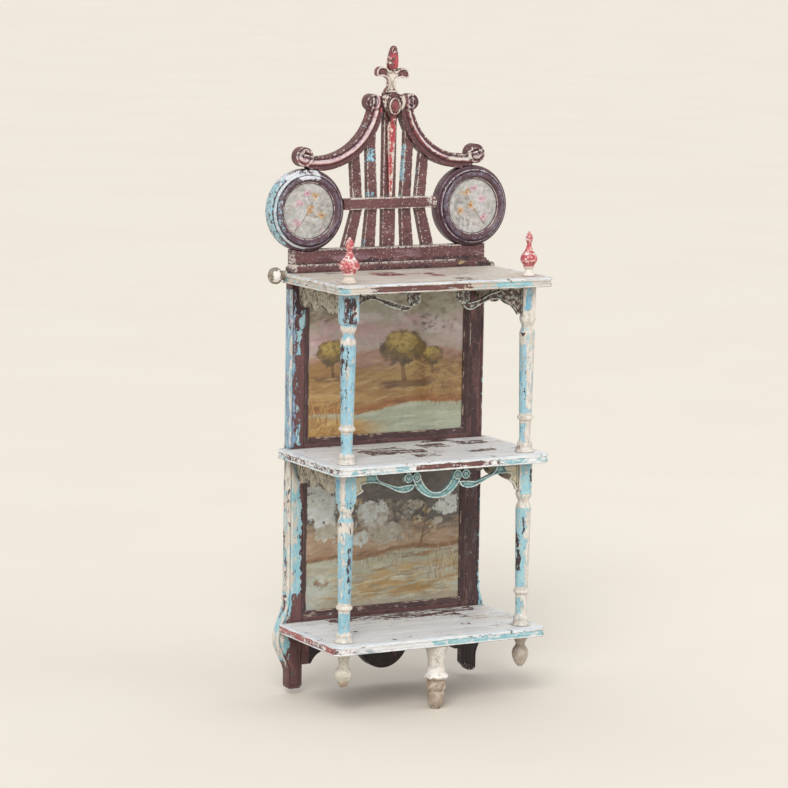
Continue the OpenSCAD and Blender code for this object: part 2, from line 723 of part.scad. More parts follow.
module left_side_apron(z) {
    color("rosybrown") difference() {
        mirror([1, 0, 0]) side_apron(z, left_block_s);
        block_spaces(z);
    }
}
module upper_right_side_apron() { right_side_apron(top_z - shelf_t); }
module upper_left_side_apron() { left_side_apron(top_z - shelf_t); }
module lower_right_side_apron() { right_side_apron(mid_z - shelf_t); }
module lower_left_side_apron() { left_side_apron(mid_z - shelf_t); }

// Space of both roundels, for the pieces that are cut to fit round them
module roundel_space(gap) {
    both_sides() translate([roundel_x, over, roundel_z]) rotate([90, 0, 0])
        cylinder(r = roundel_r + gap, h = frame_t + 20);
}
module crest_base_rail() {
    color("sienna") difference() {
        translate([-base_x, -frame_t, top_z]) cube([2 * base_x, frame_t, base_rail_h]);
        roundel_space(fit);
        crest_screw(fit);
    }
}
// Moulding round the front and the ends of the base rail, up to where the shelf is clipped
plinth_back = max(0, rear_clip - (shelf_w / 2 - base_x - plinth_out));
module plinth_step(out, h) {
    translate([-base_x - out, -frame_t - out, top_z]) cube([2 * (base_x + out), frame_t + out - plinth_back, h]);
}
module crest_plinth() {
    color("maroon") difference() {
        union() {
            plinth_step(plinth_out, plinth_h - 4);
            plinth_step(plinth_out / 2, plinth_h);
        }
        translate([-base_x, -frame_t, top_z - over])
            cube([2 * base_x, frame_t + over, plinth_h + 2 * over]);
    }
}
// Strip across the front of the slats
cross_rail_back = slat_t + 1;
module crest_cross_rail() {
    color("sienna") difference() {
        translate([-roundel_x, -cross_rail_back - cross_rail_t, cross_rail_z - cross_rail_h / 2])
            cube([2 * roundel_x, cross_rail_t, cross_rail_h]);
        roundel_space(fit);
    }
}

// Slats: each stands on the base rail, narrows in at the cross rail and ends under a scroll arm
inner_foot_out = 5;
inner_head_out = 4;
outer_foot_out = 17;
outer_head_out = 7;
slat_flare = 1.5;
head_rise = 25;
head_z = arm_centre_z - arm_r + head_rise;
module slat(waist_x, foot_out, head_out) {
    low = cross_rail_z - cross_rail_h / 2;
    high = cross_rail_z + cross_rail_h / 2;
    half = slat_w / 2;
    foot_x = waist_x + foot_out;
    head_x = waist_x + head_out;
    color("sienna") difference() {
        upright(1, slat_t) difference() {
            polygon([[foot_x - half - slat_flare, base_top], [foot_x + half + slat_flare, base_top],
                [waist_x + half, low], [waist_x + half, high],
                [head_x + half - 1, head_z], [head_x + half - 1, arm_centre_z],
                [head_x - half + 1, arm_centre_z], [head_x - half + 1, head_z],
                [waist_x - half, high], [waist_x - half, low]]);
            translate([arm_centre_x, arm_centre_z]) circle(r = arm_out_r + fit);
        }
        roundel_space(fit);
    }
}
module crest_slat_1() { mirror([1, 0, 0]) slat(outer_slat_x, outer_foot_out, outer_head_out); }
module crest_slat_2() { mirror([1, 0, 0]) slat(inner_slat_x, inner_foot_out, inner_head_out); }
module crest_slat_3() {
    color("sienna") upright(1, slat_t)
        translate([-centre_slat_w / 2, base_top]) square([centre_slat_w, crest_top_z - base_top]);
}
module crest_slat_4() { slat(inner_slat_x, inner_foot_out, inner_head_out); }
module crest_slat_5() { slat(outer_slat_x, outer_foot_out, outer_head_out); }

// Right-hand scroll arm: an arc with a volute at each end and a raised rib along its upper edge
rib_out = 4;
volute_x = roundel_x + 6;
volute_z = roundel_z + roundel_r + 3.5 + lower_volute_r;
upper_volute_x = arm_cut_x + upper_volute_r + 9.5;
upper_volute_z = arm_centre_z - 9.5;
module arm_band(r_in, r_out) {
    intersection() {
        difference() {
            circle(r = r_out);
            circle(r = r_in);
        }
        polygon([[0, 0], [-2 * r_out, 2], [-2 * r_out, -2 * r_out], [r_out * 0.05, -2 * r_out]]);
    }
}
module arm_outline() {
    difference() {
        union() {
            translate([arm_centre_x, arm_centre_z]) arm_band(arm_in_r, arm_out_r);
            translate([volute_x, volute_z]) circle(r = lower_volute_r);
            translate([arm_centre_x + 12, arm_centre_z - arm_r]) circle(r = arm_w / 2 - 1);
            translate([upper_volute_x, upper_volute_z]) circle(r = upper_volute_r);
        }
        translate([-arm_out_r + arm_cut_x, arm_centre_z - arm_out_r])
            square([arm_out_r, 2 * arm_out_r]);
    }
}
module scroll_arm() {
    color("sienna") difference() {
        union() {
            upright(0, frame_t) arm_outline();
            upright(frame_t, rib_out) difference() {
                translate([arm_centre_x, arm_centre_z])
                    arm_band(arm_in_r + arm_w * 0.22, arm_in_r + arm_w * 0.55);
                translate([0, arm_centre_z - arm_out_r]) square([cartouche_w / 2 + 1, 2 * arm_out_r]);
            }
            turned_forward(volute_x, volute_z, frame_t)
                polygon([[0, 0], [7, 0], [6, 3], [3, 4.5], [0, 5]]);
            turned_forward(upper_volute_x, upper_volute_z, frame_t)
                polygon([[0, 0], [6.5, 0], [5.5, 3], [3, 4.5], [0, 5]]);
        }
        roundel_space(fit);
    }
}
module right_scroll_arm() { scroll_arm(); }
module left_scroll_arm() { mirror([1, 0, 0]) scroll_arm(); }

// Carved cartouche planted over the heads of the arms and the centre slat
cartouche_w = 46;
cartouche_t = 8;
cartouche_tail = 27;
rim_w = 3.5;
rim_t = 2;
cabochon_x = 8;
cabochon_z = 11.5;
cabochon_t = 5;
module oval(rx, rz) { polygon(ellipse_arc(0, 0, rx, rz, 0, 348.75, 31)); }
module cartouche() {
    w = cartouche_w / 2;
    right_edge = concat(
        bezier([0, cartouche_top], [9, cartouche_top], [9, cartouche_top - 4], [15, 20]),
        bezier([15, 20], [w + 2, 18], [w + 1, 4], [w - 5, -4]),
        bezier([w - 5, -4], [w - 9, -10], [6, -14], [5, -cartouche_tail]),
        [[5, -cartouche_tail]]);
    color("rosybrown") translate([0, 0, cartouche_z]) {
        upright(frame_t, cartouche_t) polygon(concat(right_edge, mirrored(right_edge)));
        upright(frame_t + cartouche_t, rim_t) difference() {
            oval(cabochon_x + rim_w, cabochon_z + rim_w);
            oval(cabochon_x, cabochon_z);
        }
    }
}
// Domed oval boss inside the cartouche's rim
module cabochon() {
    color("firebrick") translate([0, 0, cartouche_z])
        for (step = [[0, 0.96], [0.4, 0.85], [0.7, 0.65], [0.88, 0.4]])
            upright(frame_t + cartouche_t, cabochon_t * min(1, step[0] + 0.28))
                oval(cabochon_x * step[1], cabochon_z * step[1]);
}
// Tapering drop down the front of the centre slat
strip_t = 5;
strip_w = 16;
module centre_drop_strip() {
    top = cartouche_z - cartouche_tail;
    low = cross_rail_z + cross_rail_h / 2;
    edge = shares([[0.62, 0], [1, -0.075], [0.88, -0.23], [0.31, -1]], strip_w / 2, top, top - low);
    color("indianred") upright(slat_t + 1, strip_t) polygon(concat(edge, mirrored(edge)));
}

// Fleur that stands on the centre slat and leans: stem, two curled leaves and a blunt bud.
// Its leaves are drawn for a fleur 70.8 wide and 81 high, and spread to its real size.
fleur_t = 13;
fleur_y = 10.5;
bud_r = 10.4;
module fleur() {
    leaf = concat([[13, -2]],
        bezier([13, 0], [13, 4], [7, 7], [6.5, 14]),
        bezier([6.5, 14], [6.5, 22], [12, 26], [20, 27]),
        bezier([20, 27], [27, 27], [28, 24], [34, 28]),
        bezier([34, 28], [38, 34], [33, 43], [25, 43]),
        bezier([25, 43], [17, 44], [11, 40], [6, 35]));
    leaves = shares(concat(leaf, mirrored(leaf)), fleur_w / 70.8, 0, fleur_h / 81);
    color("indianred") translate([0, 0, crest_top_z]) difference() {
        rotate([0, fleur_lean, 0]) {
            upright(fleur_y - fleur_t / 2, fleur_t) polygon(leaves);
            translate([0, -fleur_y, 0]) rotate_extrude() polygon(shares([[0, 0.38], [0.48, 0.43],
                [0.83, 0.49], [0.98, 0.57], [1, 0.62], [0.93, 0.73], [0.81, 0.84], [0.67, 0.915],
                [0.56, 0.95], [0.37, 0.985], [0, 1]], bud_r, 0, fleur_h));
        }
        translate([-fleur_w / 2, -frame_t, -fleur_h / 8]) cube([fleur_w, frame_t, fleur_h / 8]);
    }
}

// Roundels: a thick disc, a moulded ring and a round glass held between them
glass_lip = 3.5;
roundel_glass_t = 2.5;
module roundel_disc() {
    color("slategray") turned_forward(roundel_x, roundel_z, 0)
        polygon([[0, 0], [roundel_r, 0], [roundel_r, frame_t - 4], [roundel_r - 1, frame_t - 1.5],
            [roundel_r - 3, frame_t], [0, frame_t]]);
}
module roundel_ring() {
    s = roundel_sight_r;
    r = ring_r;
    h = roundel_ring_h;
    glass = roundel_glass_t + fit;
    rebate = s + glass_lip + fit;
    color("maroon") turned_forward(roundel_x, roundel_z, frame_t) polygon(concat(
        [[rebate, 0], [r, 0], [r, 1], [r - 1, h - 6], [r - 2.2, h - 5.5]],
        ellipse_arc(r - 4, h - 5.5, 1.7, 1.7, 0, 180, 6),
        [[r - 6, h - 5.5], [s + 12.5, h - 2], [s + 10, h], [s + 7, h], [s + 5, h - 1.5],
            [s + 2, glass + 1.9], [s, glass + 1.4], [s, glass], [rebate, glass]]));
}
module roundel_glass() {
    color("darkseagreen") turned_forward(roundel_x, roundel_z, frame_t)
        square([roundel_sight_r + glass_lip, roundel_glass_t]);
}
module right_roundel_disc() { roundel_disc(); }
module left_roundel_disc() { mirror([1, 0, 0]) roundel_disc(); }
module right_roundel_ring() { roundel_ring(); }
module left_roundel_ring() { mirror([1, 0, 0]) roundel_ring(); }
module right_roundel_glass() { roundel_glass(); }
module left_roundel_glass() { mirror([1, 0, 0]) roundel_glass(); }

// Knob on the left and the bare neck on the right, both pegged into the top shelf's ears
module knob_peg() { translate([0, 0, -knob_peg_l]) cylinder(d = knob_peg_d, h = knob_peg_l + 1); }
module left_side_knob() {
    l = knob_l;
    neck = knob_neck_r - 1.5;
    r = knob_r;
    color("wheat") translate([-knob_seat_x, knob_y, knob_z]) rotate([0, -90, 0]) {
        rotate_extrude() polygon([[0, 0], [knob_neck_r, 0], [neck, 3], [neck, l - 21],
            [r - 2.5, l - 20], [r - 0.5, l - 17], [r, l - 13], [r - 0.8, l - 8], [r - 3, l - 4.5],
            [7, l - 2.5], [6.5, l - 1.2], [4, l], [0, l]]);
        knob_peg();
    }
}
module right_side_stub() {
    color("tan") translate([knob_seat_x, knob_y, knob_z]) rotate([0, 90, 0]) difference() {
        union() {
            cylinder(r = knob_neck_r, h = stub_l);
            knob_peg();
        }
        translate([0, 0, stub_l - 4]) cylinder(d = 6, h = 4 + over);
    }
}

// Hanging plates let into the backs of the stiles
module hanging_plates() {
    color("dimgray") both_sides() difference() {
        translate([stile_mid_x - hanger_w / 2, -hanger_t, -hanger_h / 2])
            cube([hanger_w, hanger_t, hanger_h]);
        translate([stile_mid_x, over, 0]) rotate([90, 0, 0])
            cylinder(d = hang_hole_d, h = hanger_t + 2 * over);
        hanger_screw_pair(0);
    }
}
module hanging_plate_screws() { color("gray") both_sides() hanger_screw_pair(); }
module frame_screws() {
    color("gray") {
        rail_screw(mid_z - shelf_t / 2);
        rail_screw(low_z - shelf_t / 2);
        crest_screw();
    }
}

left_stile();
right_stile();
top_rail();
middle_rail();
bottom_rail();
upper_moulding();
lower_moulding();
upper_pane();
lower_pane();
upper_backboard();
lower_backboard();
backboard_pins();
top_shelf();
middle_shelf();
bottom_shelf();
upper_left_column();
upper_right_column();
lower_left_column();
lower_right_column();
left_finial();
right_finial();
left_pendant();
right_pendant();
centre_pendant();
upper_front_apron();
lower_front_apron();
upper_left_side_apron();
upper_right_side_apron();
lower_left_side_apron();
lower_right_side_apron();
crest_base_rail();
crest_plinth();
crest_cross_rail();
crest_slat_1();
crest_slat_2();
crest_slat_3();
crest_slat_4();
crest_slat_5();
left_scroll_arm();
right_scroll_arm();
cartouche();
cabochon();
centre_drop_strip();
fleur();
left_roundel_disc();
right_roundel_disc();
left_roundel_ring();
right_roundel_ring();
left_roundel_glass();
right_roundel_glass();
left_side_knob();
right_side_stub();
hanging_plates();
hanging_plate_screws();
frame_screws();
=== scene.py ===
import math
from statistics import NormalDist

import bmesh
import bpy
import numpy as np
from mathutils import Matrix, Vector
from mathutils.kdtree import KDTree


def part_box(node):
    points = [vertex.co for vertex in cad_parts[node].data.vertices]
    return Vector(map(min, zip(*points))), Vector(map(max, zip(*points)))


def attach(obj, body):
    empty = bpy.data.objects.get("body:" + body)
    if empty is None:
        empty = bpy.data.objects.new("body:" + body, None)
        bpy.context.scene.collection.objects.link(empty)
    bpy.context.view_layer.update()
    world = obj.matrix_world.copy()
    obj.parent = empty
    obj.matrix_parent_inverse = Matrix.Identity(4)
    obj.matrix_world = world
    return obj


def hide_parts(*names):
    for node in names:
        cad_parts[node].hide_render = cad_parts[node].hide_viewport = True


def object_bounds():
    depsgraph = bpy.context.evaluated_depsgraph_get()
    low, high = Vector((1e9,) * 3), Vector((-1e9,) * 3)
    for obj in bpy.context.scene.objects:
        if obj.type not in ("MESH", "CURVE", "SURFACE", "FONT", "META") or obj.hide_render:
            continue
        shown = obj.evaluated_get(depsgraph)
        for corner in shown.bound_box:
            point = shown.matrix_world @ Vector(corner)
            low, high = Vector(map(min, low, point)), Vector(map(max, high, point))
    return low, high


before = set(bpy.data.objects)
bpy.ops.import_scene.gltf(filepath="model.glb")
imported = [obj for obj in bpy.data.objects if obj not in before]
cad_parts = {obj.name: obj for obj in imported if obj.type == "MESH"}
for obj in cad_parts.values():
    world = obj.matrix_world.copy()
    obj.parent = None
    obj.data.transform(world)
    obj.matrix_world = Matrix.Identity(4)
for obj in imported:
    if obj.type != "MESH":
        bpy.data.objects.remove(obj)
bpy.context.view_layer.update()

# Sizes and places on the rack are in millimetres, those of the camera, the lamps and the floor in metres.
# x is right, y is back, z is up.
MM = 1000
LENS_PX = 3353.75
IMAGE_PX = 788
EYE = Vector((-2.7826, -5.0996, 0.6893))
YAW, PITCH, ROLL = 0.503, 0.142, 0.017
BOARD_DEPTH = 20                        # the frame's and the crest's boards
COLUMN_X, COLUMN_Y = 174, -197          # the columns' axes
ROUNDEL_X, ROUNDEL_Z = 162, 186
GLASS_R = 50.8                          # radius of the roundels' glass
ARM_X, ARM_Z, ARM_R, ARM_WIDTH = 140, 378.5, 100.5, 25      # the arms' arc: centre, inner radius, width
OUTSIDE = 9000                          # farther out than any part of the rack
NOISE_MID, NOISE_SPREAD = 0.5, 0.115    # mean and deviation of the layered noise
TABLE = 61                              # side of the pictures' noise tables


def make_camera():
    cam = bpy.data.cameras.new("camera")
    cam.sensor_width = 36
    cam.sensor_fit = "HORIZONTAL"
    cam.lens = cam.sensor_width * LENS_PX / IMAGE_PX
    cam.clip_end = 400
    obj = new_object("camera", cam)
    ahead = Vector((math.sin(YAW) * math.cos(PITCH), math.cos(YAW) * math.cos(PITCH), -math.sin(PITCH)))
    right = Vector((math.cos(YAW), -math.sin(YAW), 0))
    up = right.cross(ahead)
    right, up = (math.cos(ROLL) * right + math.sin(ROLL) * up, -math.sin(ROLL) * right + math.cos(ROLL) * up)
    turn = Matrix((right, up, -ahead)).transposed()
    obj.matrix_world = Matrix.Translation(EYE) @ turn.to_4x4()
    bpy.context.scene.camera = obj


def make_lamp(name, kind, energy, toward):
    light = bpy.data.lights.new(name, kind)
    light.energy = energy
    obj = new_object(name, light)
    obj.rotation_euler = toward.to_track_quat("-Z", "Y").to_euler()
    return light, obj


def new_object(name, data):
    obj = bpy.data.objects.new(name, data)
    bpy.context.collection.objects.link(obj)
    return obj


def rgb(code):
    """Linear red, green, blue and alpha of an sRGB code."""
    out = []
    for i in (1, 3, 5):
        v = int(code[i:i + 2], 16) / 255
        out.append(v / 12.92 if v <= 0.04045 else ((v + 0.055) / 1.055) ** 2.4)
    return out + [1.0]


def threshold(cover):
    """The noise value above which this share of a surface lies."""
    return NOISE_MID + NOISE_SPREAD * NormalDist().inv_cdf(1 - min(max(cover, 1e-6), 1 - 1e-6))


class Paint:
    """A layered paint in the object's own frame."""

    def __init__(self, name, base, size=30, stretch=(1, 1, 1), seed=0, carved=False):
        self.carved = carved    # the mesh stores its own ridges and hollows
        self.warp = 20          # how far a worn patch's outline wanders
        self.along = False      # crisp zones get uneven ends in x
        self.mat = bpy.data.materials.new(name)
        self.mat.use_nodes = True
        self.tree = self.mat.node_tree
        self.tree.nodes.clear()
        out = self.tree.nodes.new("ShaderNodeOutputMaterial")
        self.bsdf = self.tree.nodes.new("ShaderNodeBsdfPrincipled")
        self.link(self.bsdf.outputs[0], out.inputs[0])
        self.seed = seed * 13.7
        self.p = self.vec("MULTIPLY", self.node("ShaderNodeTexCoord").outputs["Object"], (MM,) * 3)
        self._edge = None
        self._bent = None
        self.colour = self.blend_of(base, size, stretch)
        self.height = 0.0

    def link(self, a, b):
        self.tree.links.new(a, b)

    def put(self, socket, value):
        if hasattr(value, "is_output"):
            self.link(value, socket)
        elif isinstance(value, str):
            socket.default_value = rgb(value)
        else:
            socket.default_value = value

    def node(self, kind, inputs=(), **props):
        n = self.tree.nodes.new(kind)
        for k, v in props.items():
            setattr(n, k, v)
        for k, v in dict(inputs).items():
            self.put(n.inputs[k], v)
        return n

    def operation(self, kind, op, terms):
        n = self.node(kind, operation=op)
        for i, v in enumerate(terms):
            self.put(n.inputs[i], v)
        return n

    def vec(self, op, *terms):
        n = self.operation("ShaderNodeVectorMath", op, terms)
        return n.outputs["Value"] if op in ("DOT_PRODUCT", "DISTANCE") else n.outputs["Vector"]

    def math(self, op, *terms):
        return self.operation("ShaderNodeMath", op, terms).outputs[0]

    def split(self, v):
        return self.node("ShaderNodeSeparateXYZ", {0: v}).outputs

    def step(self, v, lo, hi, a=0.0, b=1.0):
        n = self.node("ShaderNodeMapRange", {"Value": v, "From Min": lo, "From Max": hi, "To Min": a, "To Max": b},
                      interpolation_type="SMOOTHSTEP")
        return n.outputs["Result"]

    def near(self, v, centre, outer, inner=0.0):
        """1 close to a value, 0 at the outer distance from it."""
        return self.step(self.math("ABSOLUTE", self.math("SUBTRACT", v, centre)), outer, inner)

    def mix(self, f, a, b):
        return self.node("ShaderNodeMix", {0: f, 6: a, 7: b}, data_type="RGBA").outputs[2]

    def noise(self, size, detail=5, rough=0.6, stretch=(1, 1, 1), distort=0.0):
        self.seed += 7.31
        v = self.vec("MULTIPLY_ADD", self.p, tuple(s / size for s in stretch), (self.seed, self.seed * 0.7, -self.seed))
        return self.node("ShaderNodeTexNoise", {"Vector": v, "Scale": 1.0, "Detail": detail, "Roughness": rough,
                                               "Distortion": distort}).outputs["Fac"]

    def blend_of(self, colours, size=30, stretch=(1, 1, 1)):
        """Two or three colours that drift into each other. They come as one text, as all palettes do."""
        colours = colours.split()
        c = self.mix(self.step(self.noise(size, 5, 0.65, stretch), 0.36, 0.64), colours[0], colours[1])
        if len(colours) > 2:
            c = self.mix(self.step(self.noise(size * 0.4, 5, 0.7, stretch), 0.54, 0.66), c, colours[2])
        return c

    def box(self, low, high, soft):
        """1 inside a box, 0 outside. None in a corner leaves that side open. A soft box has an uneven outline."""
        if self._bent is None:
            fine = self.vec("MULTIPLY", self.p, (1 / 11,) * 3)
            shift = self.node("ShaderNodeTexNoise", {"Vector": fine, "Scale": 1.0, "Detail": 4.0, "Roughness": 0.65})
            shift = self.vec("SUBTRACT", shift.outputs["Color"], (0.5,) * 3)
            self._bent = self.vec("MULTIPLY_ADD", shift, (self.warp,) * 3, self.p)
            self._slid = self.vec("MULTIPLY_ADD", shift, (self.warp, 0, 0), self.p)
        place = self._bent if soft >= 2 else self._slid if self.along else self.p
        low = [(-OUTSIDE if v is None else v) for v in low]
        high = [(OUTSIDE if v is None else v) for v in high]
        mid = tuple((a + b) / 2 for a, b in zip(low, high))
        half = tuple((b - a) / 2 for a, b in zip(low, high))
        d = self.split(self.vec("SUBTRACT", self.vec("ABSOLUTE", self.vec("SUBTRACT", place, mid)), half))
        return self.step(self.math("MAXIMUM", self.math("MAXIMUM", d[0], d[1]), d[2]), -soft, soft, 1.0, 0.0)

    def edge(self):
        """1 on sharp edges, 0 on flat faces."""
        if self._edge is None and self.carved:
            self._edge = self.step(self.attribute("wear"), 0.15, 0.75)
        if self._edge is None:
            b = self.node("ShaderNodeBevel", {"Radius": 0.0022}, samples=4).outputs[0]
            g = self.node("ShaderNodeNewGeometry").outputs["True Normal"]
            self._edge = self.step(self.math("SUBTRACT", 1.0, self.vec("DOT_PRODUCT", b, g)), 0.015, 0.2)
        return self._edge

    def attribute(self, name, out="Fac"):
        return self.node("ShaderNodeAttribute", attribute_name=name).outputs[out]

    def bias(self, zones):
        """Zones are (x0, x1, z0, z1, amount) with softness and y0, y1 where they are needed."""
        total = None
        for x0, x1, z0, z1, amount, *rest in zones:
            soft = rest[0] if rest else 4.0
            y0, y1 = rest[1:3] if len(rest) > 2 else (None, None)
            part = self.math("MULTIPLY", self.box((x0, y0, z0), (x1, y1, z1), soft), amount)
            total = part if total is None else self.math("ADD", total, part)
        return total

    def coat(self, colours, cover, size=14, stretch=(1, 1, 1), zones=(), edge=0.0, sharp=0.02, thick=1.0, tint=24,
             rough=0.68, detail=7):
        """A paint layer that covers about this share of the surface, more or less inside its zones."""
        v = self.noise(size, detail, rough, stretch, 0.3)
        if zones:
            v = self.math("ADD", v, self.bias(zones))
        line = threshold(cover)
        mask = flat = self.step(v, line - sharp, line + sharp)
        if edge:
            mask = self.step(self.math("MULTIPLY_ADD", self.edge(), edge, v), line - sharp, line + sharp)
        self.colour = self.mix(mask, self.colour, self.blend_of(colours, tint, stretch))
        self.height = self.math("MULTIPLY_ADD", flat, thick, self.height)

    def flecks(self, cover, colours="#e9e3da #cfc3b8", thick=1.0):
        self.coat(colours, cover, 3.2, detail=4, rough=0.5, sharp=0.03, thick=thick)

    def dust(self, cover, size, colours):
        self.coat(colours, cover, size, detail=3, rough=0.5, sharp=0.03)

    def lead(self, colours, mask, cover, amount, size, thick):
        """A paint layer that follows a mask."""
        line = threshold(cover)
        f = self.step(self.math("MULTIPLY_ADD", mask, amount, self.noise(size, 7, 0.68)), line - 0.03, line + 0.03)
        self.colour = self.mix(f, self.colour, self.blend_of(colours, 20))
        self.height = self.math("MULTIPLY_ADD", f, thick, self.height)

    def dirt_and_shade(self, colour, amount, reach=0.012):
        """Darkening in corners, between parts and in the hollows of carving: dirt and painted shade."""
        ao = self.node("ShaderNodeAmbientOcclusion", {"Distance": reach}, samples=6).outputs["AO"]
        near = self.math("SUBTRACT", 1.0, ao)
        f = self.math("MULTIPLY", self.step(self.math("MULTIPLY_ADD", self.noise(9), 0.5, near), 0.45, 0.95), amount)
        if self.carved:
            f = self.math("MAXIMUM", f, self.step(self.attribute("wear"), -0.1, -0.8, 0.0, amount * 0.9))
        self.colour = self.mix(f, self.colour, colour)

    def finish(self, rough, depth=0.35, grain_size=1.6, stretch=(1, 1, 1), coat=0.0):
        self.link(self.colour, self.bsdf.inputs["Base Color"])
        self.link(self.step(self.noise(11, 5, 0.7), 0.3, 0.7, *rough), self.bsdf.inputs["Roughness"])
        h = self.math("MULTIPLY_ADD", self.noise(grain_size, 4, 0.6, stretch), 0.25, self.height)
        h = self.math("MULTIPLY_ADD", self.noise(18, 3, 0.5, stretch), 0.375, h)
        bump = self.node("ShaderNodeBump", {"Height": h, "Distance": depth / MM, "Strength": 1.0})
        self.link(bump.outputs[0], self.bsdf.inputs["Normal"])
        self.bsdf.inputs["Specular IOR Level"].default_value = 0.5
        self.bsdf.inputs["Coat Weight"].default_value = coat
        self.bsdf.inputs["Coat Roughness"].default_value = 0.25
        return self.mat


def copy_of(node):
    bm = bmesh.new()
    bm.from_mesh(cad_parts[node].data)
    bmesh.ops.remove_doubles(bm, verts=bm.verts, dist=2e-6)
    mesh = bpy.data.meshes.new(node + "_form")
    bm.to_mesh(mesh)
    bm.free()
    mesh.materials.clear()
    return new_object(node + "_form", mesh)


def bake(obj):
    """Applies the object's modifiers."""
    mesh = bpy.data.meshes.new_from_object(obj.evaluated_get(bpy.context.evaluated_depsgraph_get()))
    obj.modifiers.clear()
    obj.data = mesh


def stand_for(obj, node, slot, mat):
    obj.data.materials.clear()
    obj.data.materials.append(mat)
    for p in obj.data.polygons:
        p.material_index = 0
    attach(obj, "root")
    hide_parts(node)


def crisp(node, slot, mat, width):
    """A node with its sharp edges rounded."""
    obj = copy_of(node)
    bm = bmesh.new()
    bm.from_mesh(obj.data)
    bmesh.ops.dissolve_limit(bm, angle_limit=math.radians(1.5), verts=bm.verts, edges=bm.edges)
    bm.to_mesh(obj.data)
    bm.free()
    mod = obj.modifiers.new("rounding", "BEVEL")
    mod.width = width / MM
    mod.segments = 2
    mod.limit_method = "ANGLE"
    mod.angle_limit = math.radians(28)
    mod.use_clamp_overlap = True
    mod.harden_normals = True
    bake(obj)
    stand_for(obj, node, slot, mat)


class Skin:
    """A node as a fine even skin that can be carved."""

    def __init__(self, node, voxel, soften):
        self.node = node
        self.obj = copy_of(node)
        mod = self.obj.modifiers.new("skin", "REMESH")
        mod.mode = "VOXEL"
        mod.voxel_size = voxel / MM
        mod.use_smooth_shade = True
        bake(self.obj)
        mesh = self.mesh = self.obj.data
        n = len(mesh.vertices)
        self.co = np.empty(n * 3, dtype=np.float32)
        mesh.vertices.foreach_get("co", self.co)
        self.co = self.co.reshape(-1, 3) * MM
        e = np.empty(len(mesh.edges) * 2, dtype=np.int32)
        mesh.edges.foreach_get("vertices", e)
        self.a, self.b = e.reshape(-1, 2).T
        self.count = np.maximum(np.bincount(self.a, minlength=n) + np.bincount(self.b, minlength=n), 1)
        self.low, self.high = self.co.min(0), self.co.max(0)
        self.soften(soften)

    def average(self, v):
        n = len(v)
        out = [np.bincount(self.a, v[self.b, k], n) + np.bincount(self.b, v[self.a, k], n) for k in range(3)]
        return np.stack(out, 1) / self.count[:, None]

    def soften(self, times, where=None):
        for _ in range(times):
            step = (self.average(self.co) - self.co) * 0.5
            self.co += step if where is None else step * where[:, None]

    def normals(self):
        self.mesh.vertices.foreach_set("co", (self.co / MM).astype(np.float32).ravel())
        self.mesh.update()
        n = np.empty(len(self.co) * 3, dtype=np.float32)
        self.mesh.vertices.foreach_get("normal", n)
        return n.reshape(-1, 3)

    def rim(self):
        """Distance of each point from the outline, seen from the front."""
        wall = np.flatnonzero(np.abs(self.normals()[:, 1]) < 0.45)
        tree = KDTree(len(wall))
        for i, p in zip(wall, self.co[wall]):
            tree.insert((p[0], p[2], 0), int(i))
        tree.balance()
        return np.array([tree.find((p[0], p[2], 0))[2] for p in self.co])

    def done(self, slot, mat, scale):
        """Stores how far each point stands out of its surroundings, up to this scale, for the paint."""
        self.co = np.clip(self.co, self.low, self.high)
        n = self.normals()
        soft = self.co.copy()
        for _ in range(8):
            soft += (self.average(soft) - soft) * 0.6
        layer = self.mesh.attributes.new("wear", "FLOAT", "POINT")
        values = np.clip(((self.co - soft) * n).sum(1) / scale, -1, 1)
        layer.data.foreach_set("value", values.astype(np.float32).ravel())
        stand_for(self.obj, self.node, slot, mat)


def ramp(v, lo, hi):
    t = np.clip((v - lo) / (hi - lo), 0, 1)
    return t * t * (3 - 2 * t)


def carved(node, slot, mat, voxel, soften, carve=None, scale=0.3):
    skin = Skin(node, voxel, soften)
    if carve:
        carve(skin)
    skin.done(slot, mat, scale)


def carve_arm(skin):
    """Rolled ridge and groove along the arm, and a spiral in each volute."""
    x, y, z = np.abs(skin.co[:, 0]), skin.co[:, 1], skin.co[:, 2]
    t = (np.hypot(x - ARM_X, z - ARM_Z) - ARM_R) / ARM_WIDTH
    h = np.interp(t, [0, 0.05, 0.1, 0.15, 0.2, 0.26, 0.34, 0.43, 0.52, 0.6, 0.64, 0.7, 0.94, 1],
                  [-1.4, -0.2, -0.1, -0.9, -1.6, 0.6, 3.4, 4.4, 3.3, 0.9, -0.7, -0.1, -0.2, -1.3])
    for cx, cz, r, way in ((168, 277.5, 17, 1), (36.5, 369, 14.5, -1)):
        d = np.hypot(x - cx, z - cz)
        turn = np.arctan2(z - cz, x - cx) / (2 * np.pi) * way
        pitch = r * 0.52
        f = np.mod(d / pitch - turn, 1.0)
        coil = 3.9 * (1 - (d / r) ** 2 * 0.3) - 3.6 * np.exp(-((f - 0.5) / 0.15) ** 2) * (d > r * 0.24)
        coil = np.where(d > r - 2, coil - (d - r + 2) ** 2 * 0.35, coil)
        w = ramp(d, r + 1.5, r - 1.5)
        h = h * (1 - w) + coil * w
    front = y < -18.9
    skin.co[front, 1] = -(BOARD_DEPTH + h[front])
    skin.soften(3, (y < -15).astype(float))


def carve_fleur(skin):
    """Leaves sunk inside a raised rim, over a ribbed stem."""
    rim = skin.rim()
    y = skin.co[:, 1]
    flat = np.abs(y + 17) < 1.0
    skin.co[:, 1] += np.where(flat, 2.6 * ramp(rim, 1.6, 4.5), 0)
    skin.soften(3)


